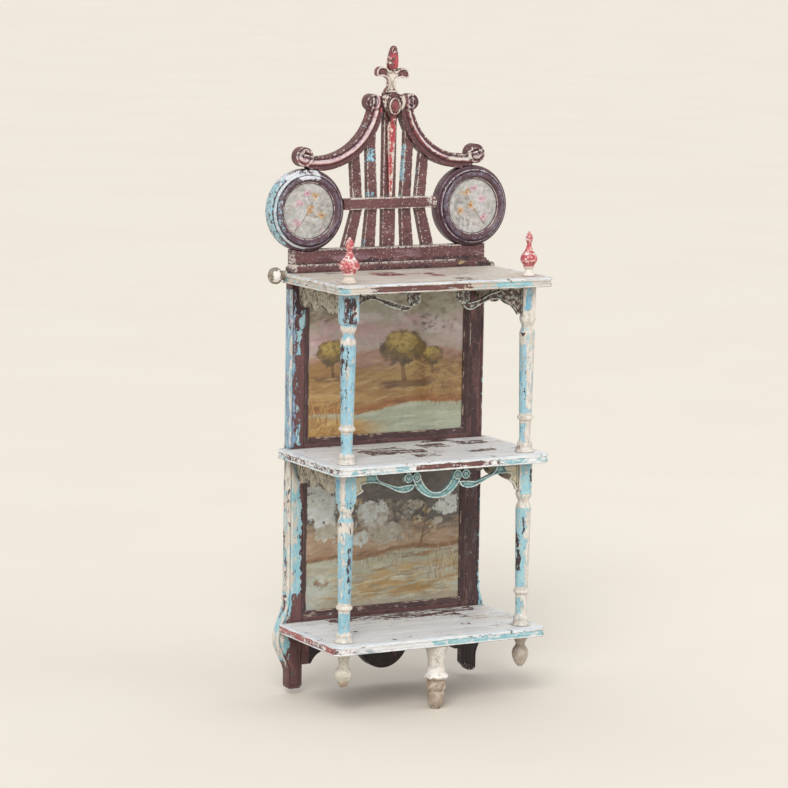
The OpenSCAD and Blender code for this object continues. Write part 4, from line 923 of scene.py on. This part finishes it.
def upper_picture(x, z):
    """Far hills, a field with three trees, and water in front."""
    c = Canvas(x, z, "#a39e8b")
    c.lay(c.ragged(46, 3, 0.5, 0.12, 1.6) * 0.8, "#b9b1a0 #aba290")
    c.lay((1 - c.above(-6, 20)) * 0.8, "#c3a9a6 #b9a79c", seed=5)
    c.lay(c.ragged(40, 8, 0.5, 0.12, 2.4) * (1 - c.above(0, 22)) * c.above(-62, 12), "#cba7ab #bb9896", seed=6)
    c.lay(c.ragged(30, 10, 0.36, 0.08, 2.0) * (1 - c.above(12, 18)) * c.above(-58, 12) * 0.7,
          "#d3c6c4 #c9b9b8", seed=6)
    c.dabs(301, 70, -120, 18, 42, 26, 9, 4, "#7d6a4d #8f7b5a #6c5a43 #9c8a6a", 0.6, 0.3, 0.8)
    c.dabs(302, 60, 80, 22, 60, 22, 8, 4, "#8a7758 #9a8869 #6f5d4a #a99a7e", 0.5, -0.2, 0.8)
    c.dabs(303, 26, 100, -16, 46, 14, 5, 2.4, "#6d5560 #7f6a6c #5a4741", 0.6, 0.2, 0.8)
    far = -62 + 11 * np.sin(x / 46 + 0.8) + 14 * (cloud(x, z * 0, 40, 21) - 0.5)
    c.lay(ramp(z, far + 4, far - 4), "#ab8472 #97705c", size=20, seed=9)
    c.dabs(304, 110, 0, -74, 160, 12, 14, 2.6, "#b58f7c #8f6853 #a67a5e #c09c86", 0.5, 0.1, 0.3)
    near = -88 + 9 * np.sin(x / 34 - 1.1) + 16 * (cloud(x, z * 0, 28, 25) - 0.5)
    c.lay(ramp(z, near + 4, near - 4), "#9c7443 #ac8853", size=16, seed=10, stretch=4)
    c.dabs(305, 240, 0, -118, 165, 30, 15, 2.2,
           "#b3905a #8d6436 #a37c46 #c2a36e #7c5630", 0.5, 0.08, 0.25)
    tree(c, -106, -60, 30, 40)
    tree(c, 34, -56, 42, 60)
    tree(c, 92, -74, 22, 80)
    c.dabs(331, 60, 110, -104, 50, 30, 10, 3, "#7a5236 #6b4630 #8d6244 #a67a55", 0.55, -0.3, 0.6)
    c.dabs(306, 60, 34, -124, 46, 5, 14, 2.4, "#6b4a2b #7c5630 #5a3f28", 0.55, 0.0, 0.15)
    c.dabs(307, 30, -106, -108, 30, 4, 10, 2, "#6b4a2b #7c5630", 0.5, 0.0, 0.15)
    bank = -158 + x * 0.07 + 5 * np.sin(x / 30) + 6 * (cloud(x, z * 0, 14, 35) - 0.5)
    c.lay(ramp(np.abs(z - bank), 9, 3) * (0.5 + 0.5 * c.ragged(18, 36, 0.6, 0.1, 3)),
          "#85502a #9d6434", size=8, seed=15, stretch=4)
    c.dabs(308, 90, 0, -158, 165, 12, 13, 2, "#8a5328 #6f4424 #a8703a #b98a50", 0.55, 0.07, 0.2)
    water = ramp(z, bank - 4, bank - 9)
    c.lay(water * 0.95, "#b5b7a3 #a4a993", size=10, seed=16, stretch=5)
    c.dabs(309, 90, 30, -192, 135, 16, 18, 1.8, "#c3c6b4 #9aa08c #b7ad94 #8f9a88", 0.4, 0.05, 0.12)
    shore = water * ramp(z, -182 - x * 0.12, -196 - x * 0.12) * c.left(-20, 45)
    c.lay(shore * 0.9, "#a8793d #bd9150", size=9, seed=17, stretch=3)
    c.dabs(310, 90, -110, -198, 60, 16, 8, 1.8, "#8a5328 #c79c58 #9d6d36 #d0ad70", 0.5, 0.5, 0.7)
    grass(c, 5, -155, -80, -200, -160, 70, 24, "#9a6d35 #7a5228 #b98f4c #c9a463")
    grass(c, 6, 70, 152, -168, -136, 46, 18, "#8c6534 #6f4a26 #a9844a")
    c.worn(320)
    return c.rgb * np.array((0.92, 0.95, 0.93))


def lower_picture(x, z):
    """Rocks and flowers, over a bank and a meadow."""
    c = Canvas(x, z, "#594d43")
    c.lay(c.ragged(40, 103, 0.5, 0.15) * 0.7, "#6b5e52 #4b4139")
    c.dabs(430, 60, 10, -330, 150, 60, 9, 5, "#3c332d #453a32 #2f2824", 0.5, 0.4, 1.0)
    c.dabs(401, 120, 0, -300, 160, 50, 3, 12, "#4a4038 #6d6054 #5c4d40 #7a6a58", 0.4, 0.0, 0.5)
    c.lay(ramp(z, -362 - x * 0.05, -396 - x * 0.05) * 0.9, "#a07c5b #b08c69", size=18, seed=107, stretch=3)
    c.dabs(402, 150, 0, -392, 162, 26, 14, 3, "#b28f6b #8d6642 #a2764d #c2a37f", 0.5, 0.1, 0.35)
    rocks = ((-126, -338, 24, 44, 0.4), (-112, -376, 26, 12, 0.2), (-24, -352, 34, 26, 0.3), (6, -384, 42, 18, -0.2),
             (-48, -392, 20, 12, 0.5), (60, -340, 15, 9, 0.0), (128, -344, 24, 20, 0.3), (108, -372, 12, 6, 0.4))
    for k, (cx, cz, rx, rz, turn) in enumerate(rocks):
        c.lay(c.blot(cx, cz, rx, rz, 120 + 2 * k, 0.75, 0.05, turn) * c.ragged(10, 140 + k, 0.72, 0.04),
              ("#c2baa6 #cfc9b9", "#b5a68d #a8977c")[k % 2], size=8, seed=108 + k, stretch=1)
    c.dabs(403, 160, -10, -366, 90, 34, 6, 3, "#b79a76 #8c7458 #cbc1ab #9d8567 #746252", 0.55, 0.5, 1.2)
    c.lay(c.ragged(11, 131, 0.36, 0.03) * c.blot(0, -368, 80, 46, 133, 0.4) * 0.7, "#86735b #998769")
    for k, (bx, bz) in enumerate(((-70, -352), (-52, -330), (-84, -376), (66, -366), (86, -350), (98, -384))):
        c.dabs(410 + k, 16, bx, bz, 8, 7, 4.4, 2.2, "#b99a6c #8f6a42 #cdb48c", 0.75, k, 1.4, round_=True)
        c.dabs(420 + k, 3, bx, bz, 1.5, 1.5, 2.2, 2.0, "#5b3d26", 0.8)
    c.stroke([(-88, -420), (-74, -394), (-58, -366), (-50, -334)], 2.0, "#5a3d26 #74502f")
    c.stroke([(-72, -392), (-84, -378), (-88, -370)], 1.4, "#5a3d26")
    c.stroke([(72, -420), (78, -396), (86, -352)], 2.0, "#5a3d26 #74502f")
    c.stroke([(78, -398), (92, -390), (98, -382)], 1.3, "#5a3d26")
    bank = -422 + x * 0.06 + 4 * np.sin(x / 26) + 6 * (cloud(x, z * 0, 12, 143) - 0.5)
    c.lay(ramp(z, bank + 3, bank - 3), "#b5ab90 #a79c7d", size=14, seed=116, stretch=4)
    c.lay(ramp(np.abs(z - bank - 2), 6, 1.5) * 0.85, "#6e4526 #8a5c31", size=7, seed=117, stretch=3)
    c.dabs(404, 80, 0, -424, 160, 9, 13, 1.8, "#7b4d28 #5f3b22 #9c6c3c", 0.6, 0.06, 0.2)
    c.lay(c.ragged(22, 161, 0.5, 0.1, 4) * ramp(z, -436, -450), "#a07946 #b38d57", size=10, seed=118, stretch=5)
    c.dabs(405, 220, 20, -474, 150, 34, 20, 1.9,
           "#a9824c #8a602f #bfa272 #c9bd9c #9aa08a #7b5530", 0.5, 0.08, 0.14)
    c.lay(ramp(z, -492, -508) * 0.55, "#a8a28b #b5ae97", size=10, seed=120, stretch=6)
    c.lay(c.left(-118, 26) * ramp(z, -438, -450) * 0.65, "#b9b6a4 #a5a089", seed=121)
    c.dabs(406, 20, -122, -468, 12, 7, 5, 2.4, "#9a7b5a #7c5f43", 0.7, 0.2, 0.8)
    grass(c, 8, 88, 156, -478, -428, 80, 26, "#94683a #754c27 #b08a55 #c7a878")
    grass(c, 9, -70, 40, -446, -430, 40, 14, "#9d7547 #7d562e")
    c.worn(330)
    return c.rgb * np.array((0.92, 1.04, 1.22))


def roundel_picture(cx, seed):
    """A spray of flowers."""
    def paint(x, z):
        x, z = np.sign(-cx) * (x - cx), z - ROUNDEL_Z       # the two sprays mirror each other
        c = Canvas(x, z, "#a5a698")
        c.lay(c.ragged(14, seed, 0.55, 0.08), "#bfbdae #b0b3a3", seed=seed)
        c.dabs(seed, 130, 0, 0, 52, 52, 5, 3,
               "#c9c6b8 #9b9c8c #b3ae96 #bcb2a0 #908c7c #d3cfc4", 0.6, 0.4, 1.4)
        c.dabs(seed + 1, 40, 26, -12, 20, 26, 5, 3, "#7c7d70 #94907e #6e6c61", 0.55, 0.4, 1.4)
        c.stroke([(-24, -32), (-10, -16), (4, 4), (14, 26)], 1.3, "#8a6a48 #6d5138", strength=0.7)
        c.stroke([(-4, -6), (12, -12), (26, -8)], 1.0, "#8a6a48", strength=0.6)
        for k, (px, pz) in enumerate(((14, 24), (-18, 12), (26, -8), (-22, -20), (4, 2), (-2, 30))):
            tone = "#bd8f4a #a97a3c #cfa667" if k % 2 == 0 else "#c9959c #d6b3b4 #b87f86"
            c.dabs(seed + 10 + k, 13, px, pz, 7, 6, 3.4, 2.0, tone, 0.75, k, 1.4, round_=True)
            c.dabs(seed + 30 + k, 2, px, pz, 1.2, 1.2, 1.8, 1.6, "#754a2e", 0.7)
        c.dabs(seed + 50, 26, -6, -8, 34, 34, 2.6, 1.4, "#cf9aa0 #b98a8c #b59a58 #8c8a55", 0.6, 0.4, 1.4)
        c.dabs(seed + 60, 60, 0, 0, 50, 50, 2.2, 1.3, "#dad7cc #c9c8bc #6f6d60", 0.6, 0.4, 1.4)
        c.worn(seed + 70)
        return c.rgb * np.array((1.04, 1.02, 1.2))
    return paint


def pane(node, paint, mat, step, centre=None, radius=None):
    """A slab with a fine front face that carries the picture, and finished sides and back."""
    low, high = (np.array(v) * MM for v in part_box(node))
    nx, nz = int((high[0] - low[0]) / step) + 2, int((high[2] - low[2]) / step) + 2
    xs, zs = np.linspace(low[0], high[0], nx), np.linspace(low[2], high[2], nz)
    gx, gz = np.meshgrid(xs, zs)
    gx, gz = gx.ravel(), gz.ravel()
    if radius:
        d = np.hypot(gx - centre[0], gz - centre[1])
        pull = np.where(d > radius, radius / np.maximum(d, 1e-6), 1.0)
        gx, gz = centre[0] + (gx - centre[0]) * pull, centre[1] + (gz - centre[1]) * pull
    verts = np.stack([gx, np.full_like(gx, low[1]), gz], 1) / MM
    bm = bmesh.new()
    vs = [bm.verts.new(v) for v in verts.tolist()]
    for j in range(nz - 1):
        for i in range(nx - 1):
            k = j * nx + i
            bm.faces.new((vs[k], vs[k + 1], vs[k + nx + 1], vs[k + nx]))
    bm.verts.index_update()
    bmesh.ops.dissolve_degenerate(bm, dist=1e-6, edges=bm.edges)
    mesh = bpy.data.meshes.new(node + "_form")
    bm.to_mesh(mesh)
    bm.free()
    obj = new_object(node + "_form", mesh)
    mod = obj.modifiers.new("slab", "SOLIDIFY")
    mod.thickness = (high[1] - low[1]) / MM
    mod.offset = -1
    bake(obj)
    co = np.empty(len(obj.data.vertices) * 3)
    obj.data.vertices.foreach_get("co", co)
    co = co.reshape(-1, 3) * MM
    layer = obj.data.color_attributes.new("picture", "FLOAT_COLOR", "POINT")
    out = np.ones((len(co), 4))
    out[:, :3] = paint(co[:, 0], co[:, 2])
    layer.data.foreach_set("color", out.astype(np.float32).ravel())
    stand_for(obj, node, "painted_glass", mat)


for node, side, *worn in (
    ("upper_left_column", -1, "#9dc5d2 #89bacd #bcd3d7",
     [(8, 14, 26, 42, 0.4), (-20, 20, -4, 8, 0.3), (-20, 20, -22, -12, 0.32), (-4, 1, -80, -42, 0.2),
      (-20, 20, -172, -157, 0.3), (-20, 20, -226, -206, 0.22), (8, 16, -150, -90, 0.1)],
     [(-8, 13, 12, 58, 0.26), (-22, -14, 15, 45, 0.12), (-15, -7, -72, -20, 0.24), (-4, 1, -62, -20, 0.2),
      (-13, -7, -130, -72, 0.17), (-4, 0, -150, -62, 0.16), (-12, -6, -196, -182, 0.2), (-6, 0, -12, -2, 0.1)],
     [(-16, -8, -140, -70, 0.12), (4, 12, -140, -40, 0.1)]),
    ("lower_left_column", -1, "#98c0cb #82b4c6 #b6cfce",
     [(-9, -1, -302, -243, 0.32), (-20, 20, -318, -300, 0.16), (-20, 20, -340, -322, 0.3), (-16, -2, -360, -335, 0.12),
      (-6, 1, -400, -370, 0.18), (-20, 20, -478, -463, 0.34), (-20, 20, -536, -512, 0.24), (-14, 0, -450, -400, 0.05)],
     [(2, 12, -302, -286, 0.16), (4, 11, -350, -325, 0.15), (3, 11, -446, -368, 0.2), (-12, -6, -330, -324, 0.2)],
     [(-20, -10, -310, -250, 0.2), (6, 14, -420, -330, 0.1)]),
    ("upper_right_column", 1, "#a5c9d2 #8bbccf #c2d6d7",
     [(-24, -5, 20, 64, 0.25), (7, 24, -10, 64, 0.3), (-22, 22, -10, 24, 0.22), (-1, 22, -150, -12, 0.2),
      (-22, 22, -172, -157, 0.34), (0, 22, -205, -172, 0.32), (-22, 22, -231, -205, 0.25), (-22, -2, -36, -12, 0.2)],
     [(-11, -4, -24, -16, 0.3), (-4, 0, -66, -54, 0.2), (-4, 0, -90, -82, 0.2), (-5, -1, -135, -108, 0.2),
      (-10, 0, -167, -162, 0.2), (-20, -8, -222, -212, 0.16)],
     [(-4, 7, 24, 46, 0.3), (-15, -8, -150, -50, 0.14)]),
    ("lower_right_column", 1, "#a0c6cb #8abac8 #bcd2cd",
     [(-22, -6, -300, -246, 0.22), (-20, 20, -322, -298, 0.25), (5, 22, -460, -328, 0.26), (-20, 20, -480, -463, 0.34),
      (0, 22, -512, -480, 0.22), (-22, 22, -536, -508, 0.2)],
     [(9, 16, -276, -252, 0.25), (-20, -14, -296, -282, 0.25), (-2, 3, -368, -338, 0.24), (-13, -5, -392, -368, 0.26),
      (-11, -3, -432, -394, 0.28), (-12, -6, -500, -480, 0.12), (-12, -4, -530, -520, 0.14)],
     [(-22, 0, -534, -518, 0.2)])):
    paint = column_mat(node + "_paint", side * COLUMN_X, *worn, 50 + len(node))
    carved(node, "column_paint", paint, 0.9, 2)

for node, side in (("left_stile", -1), ("right_stile", 1)):
    carved(node, "frame_paint", frame_mat(node + "_paint", side, True), 1.25, 1, carve_stile, 0.4)
RAILS = frame_mat("rail_paint", 0)
for node in ("top_rail", "middle_rail", "bottom_rail"):
    crisp(node, "frame_paint", RAILS, 0.8)
for node, *worn in (
        ("upper_moulding", (-163, 163, -213, -208, 0.09, 1), -209, 39, 15),
        ("lower_moulding", (-163, 80, -523, -512, 0.12, 2), -514, -266, 16)):
    crisp(node, "frame_paint", moulding_mat(node + "_paint", *worn), 0.35)

for node, *worn in (
    ("top_shelf", 2, 80, [(-200, 200, -60, 0, 0.06)],
        [(-66, 40, -146, -48, 0.3), (24, 98, -146, -94, 0.24), (-95, -20, -116, -62, 0.22),
         (-20, 60, -190, -150, 0.14), (60, 150, -80, -50, 0.14)],
        [(32, 66, -222, -172, 0.2), (-80, -20, -106, -78, 0.13), (-150, -108, -62, -22, 0.15),
         (-195, -165, -90, 0, 0.1), (60, 130, -60, -10, 0.1), (100, 190, -120, -90, 0.06)], (66.4, 76),
        [(-168, 42, "red", 0.2), (-150, 46, "red", 0.16), (-135, 30, "red", 0.12), (40, 92, "red", 0.2),
         (-214, -188, "cyan", 0.28), (92, 165, "cyan", 0.3), (45, 90, "cyan", 0.18), (-150, -110, "cyan", 0.14)]),
    ("middle_shelf", 3, -225, [(150, 200, -120, -20, 0.1), (-200, 200, -25, 0, 0.15)], [],
        [(-92, 22, -138, -104, 0.28), (-100, 0, -104, -62, 0.2), (-26, 22, -178, -146, 0.26), (30, 86, -98, -60, 0.28),
         (110, 172, -88, -52, 0.28), (60, 122, -44, -10, 0.2), (86, 142, -166, -142, 0.26), (172, 196, -182, -140, 0.2),
         (-151, -145, -176, -168, 0.5), (-206, -196, -120, 0, 0.15), (-60, 130, -60, -30, 0.06)], (-238.6, -229),
        [(-166, -96, "red", 0.26), (-74, 104, "red", 0.26), (-60, 90, "red", 0.18), (100, 152, "red", 0.26),
         (-180, -150, "cyan", 0.24), (-140, -110, "cyan", 0.18), (-98, -68, "cyan", 0.3), (104, 205, "cyan", 0.22)]),
    ("bottom_shelf", 4, -530, [(120, 205, -140, -10, 0.14), (-200, 200, -25, 0, 0.14)], [],
        [(-122, 172, -56, -22, 0.24), (-10, 122, -76, -52, 0.2), (110, 128, -100, -70, 0.25),
         (116, 142, -198, -176, 0.15)],
        (-543.6, -534), [(-125, 0, "red", 0.16), (-20, 210, "cyan", 0.27)])):
    crisp(node, "shelf_paint", shelf_mat(node, *worn), 0.5)

ARM = arm_mat()
for node in ("left_scroll_arm", "right_scroll_arm"):
    carved(node, "crest_paint", ARM, 0.9, 1, carve_arm, 0.35)
CREST_PLAIN = crest_mat("crest_paint_plain", False)
for node in ("crest_base_rail", "crest_plinth", "crest_cross_rail"):
    crisp(node, "crest_paint", CREST_PLAIN, 0.8)
CREST_CARVED = crest_mat("crest_paint_carved", True)
for k in range(1, 6):
    carved("crest_slat_%d" % k, "crest_paint", CREST_CARVED, 1.0, 3)
for node, base, creams, reds, seed, *skin in (
    ("cartouche", "#5d3a3c #6f4343 #4a2c30",
     [(-24, -8, 345, 382, 0.12, 3), (14, 24, 350, 382, 0.28, 3), (-24, -6, 376, 387, 0.14, 3)],
     [(-6, 8, 334, 350, 0.2, 3)], 31, 0.6, 2, carve_cartouche),
    ("cabochon", "#7a3d42 #8f4a4c #5d2f35", [], [(-8, 8, 350, 362, 0.12, 3)], 32, 0.5, 6),
    ("centre_drop_strip", "#b9444a #a53a42 #c96a66",
     [(-9, -1, 280, 336, 0.2, 2), (0, 9, 204, 300, 0.2, 2)], [(-6, 4, 250, 310, 0.25, 3)], 33, 0.6, 5),
    ("fleur", "#6a3f42 #7b4a4a #523034",
     [(-6, 14, 380, 422, 0.26, 4), (-34, 36, 406, 424, 0.08, 3), (-14, 0, 430, 450, 0.12, 3)],
     [(-12, 16, 426, 462, 0.12, 4), (3, 16, 428, 448, 0.26, 4)], 34, 0.6, 3, carve_fleur)):
    paint = carving_mat(node.split("_")[-1] + "_paint", base, creams, reds, seed)
    carved(node, "carving_paint", paint, *skin)

for side, cx, whites in (
        ("left", -ROUNDEL_X, [(-240, -208, 130, 240, 0.16, 6), (-225, -140, 240, 262, 0.24, 3),
                              (-215, -140, 232, 248, 0.14, 2.5), (-200, -165, 112, 122, 0.1, 3)]),
        ("right", ROUNDEL_X, [(92, 110, 200, 240, 0.12, 3), (172, 185, 240, 250, 0.2, 2.5),
                              (150, 185, 112, 121, 0.1, 3)])):
    mat = roundel_mat(side + "_roundel_paint", cx, 60 + len(side), whites)
    crisp(side + "_roundel_disc", "roundel_paint", mat, 0.5)
    crisp(side + "_roundel_ring", "roundel_paint", mat, 0.25)
    pane(side + "_roundel_glass", roundel_picture(cx, 210 + int(cx)), glass_mat(side + "_roundel_glass_paint", 9, 0.06),
         0.9, (cx, ROUNDEL_Z), GLASS_R)

UPPER = apron_mat("upper_apron_paint", 71, "#45302d #57403b #33242a", "#2a1f20 #3a2a29", 0.25,
                  "#b5a896 #93a19c #d0c8b8", 0.42, "#d3ccbd #a9c2c2 #e0dbcf", 0.25)
LOWER = apron_mat("lower_apron_paint", 72, "#86b4b2 #74a5a9 #a3c2bc", "#3a2d2c #57443e", 0.19,
                  "#cfc0a6 #b8b69c #dcd6c6", 0.14, "#e3e4df #ccd6d1 #ecebe7", 0.24,
                  [(138, 166, -294, -246, 0.4, 4), (-166, -138, -292, -246, 0.35, 4)])
SHELL = apron_mat("side_apron_paint", 73, "#b3a996 #978e7b #c8bfae", "#44362f #5d4d41", 0.27,
                  "#9bb5b2 #b3c3bd", 0.1, "#ddd5c6 #c8bead #e8e3d9", 0.2)
carved("upper_front_apron", "apron_paint", UPPER, 0.8, 1,
       lambda skin: carve_front_apron(skin, flowers=[(45, 50, 13), (-50, 51, 13)]))
carved("lower_front_apron", "apron_paint", LOWER, 0.8, 1,
       lambda skin: carve_front_apron(skin, eyes=[(x, -256, 8.2) for x in (-56, -40, 40, 56)]))
for level in ("upper", "lower"):
    for side, block in (("left", 27), ("right", 23)):
        carved("%s_%s_side_apron" % (level, side), "apron_paint", SHELL, 0.9, 1,
               lambda skin: carve_side_apron(skin, block))

FINIAL = finial_mat()
for node in ("left_finial", "right_finial"):
    carved(node, "turning_paint", FINIAL, 0.7, 2)
for node, base, browns, seed, whites in (
    ("left_pendant", "#cfc8b9 #bcb4a4 #dedad0",
     [(None, None, -610, -598, 0.35, 2), (None, None, -552, -540, 0.05, 3)], 81, ()),
    ("right_pendant", "#b8ada0 #a69a8c #c9c0b4", [(None, None, -560, -540, 0.06, 3)], 82, ()),
    ("centre_pendant", "#dad5ce #cac2b8 #eae7e3",
     [(None, None, -660, -603, 0.2, 4), (-12, -2, -600, -550, 0.05, 4)], 83, [(None, None, -604, -585, 0.3, 2)]),
    # The white spot on the side of the left knob's disc is a painted highlight.
    ("left_side_knob", "#8f8373 #74685a #a99d8d", [], 84,
     [(-228, -217, 68, 84, 0.4, 3, -40, -18), (-207, -188, 60, 92, 0.15, 3)]),
    ("right_side_stub", "#7d7762 #6b664f #968f78", [(200, 212, 70, 82, 0.4, 1.5)], 85, ())):
    carved(node, "turning_paint", turning_mat(node + "_paint", base, browns, seed, whites), 0.7, 2)

GLASS = glass_mat("painted_glass_large", 24, 0.03)
pane("upper_pane", upper_picture, GLASS, 1.15)
pane("lower_pane", lower_picture, GLASS, 1.15)
RAW = board_mat()
for node in ("upper_backboard", "lower_backboard"):
    crisp(node, "raw_board", RAW, 0.4)
METAL = metal_mat()
for node in ("backboard_pins", "hanging_plates", "hanging_plate_screws", "frame_screws"):
    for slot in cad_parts[node].material_slots:
        slot.material = METAL


def make_floor():
    bm = bmesh.new()
    bmesh.ops.create_circle(bm, cap_ends=True, segments=96, radius=180)
    me = bpy.data.meshes.new("floor")
    bm.to_mesh(me)
    obj = new_object("floor", me)
    obj.location.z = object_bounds()[0][2] - 0.0005     # just clear of the pendants
    m = Paint("floor", "#e8e1d3 #e7dfd1", 700, seed=20)
    m.link(m.colour, m.bsdf.inputs["Base Color"])
    m.bsdf.inputs["Roughness"].default_value = 0.9
    me.materials.append(m.mat)


def make_world():
    """A cool even light, with a warm pale colour where the camera and glossy faces see it."""
    world = bpy.data.worlds.new("studio")
    world.use_nodes = True
    tree = world.node_tree
    light = tree.nodes["Background"]
    light.inputs["Color"].default_value = (0.95, 0.96, 1.0, 1)
    light.inputs["Strength"].default_value = 0.8
    seen = tree.nodes.new("ShaderNodeBackground")
    seen.inputs["Color"].default_value = rgb("#eee7da")
    path = tree.nodes.new("ShaderNodeLightPath")
    mask = path.outputs["Is Camera Ray"]
    for ray in ("Is Glossy Ray", "Is Transmission Ray"):
        both = tree.nodes.new("ShaderNodeMath")
        both.operation = "MAXIMUM"
        tree.links.new(mask, both.inputs[0])
        tree.links.new(path.outputs[ray], both.inputs[1])
        mask = both.outputs[0]
    mix = tree.nodes.new("ShaderNodeMixShader")
    tree.links.new(mask, mix.inputs[0])
    tree.links.new(light.outputs[0], mix.inputs[1])
    tree.links.new(seen.outputs[0], mix.inputs[2])
    tree.links.new(mix.outputs[0], tree.nodes["World Output"].inputs["Surface"])
    bpy.context.scene.world = world


make_camera()
make_floor()
make_world()
sun, _ = make_lamp("key", "SUN", 1.55, Vector((0.45, 0.62, -0.64)))
sun.angle = math.radians(28)
sun.color = (1, 0.985, 0.96)
fill_place = Vector((3.6, -3.4, 1.6))
fill, fill_object = make_lamp("fill", "AREA", 30, Vector((0, -0.1, 0)) - fill_place)
fill.shape = "DISK"
fill.size = 3.0
fill_object.location = fill_place
bpy.context.scene.view_settings.view_transform = "Standard"
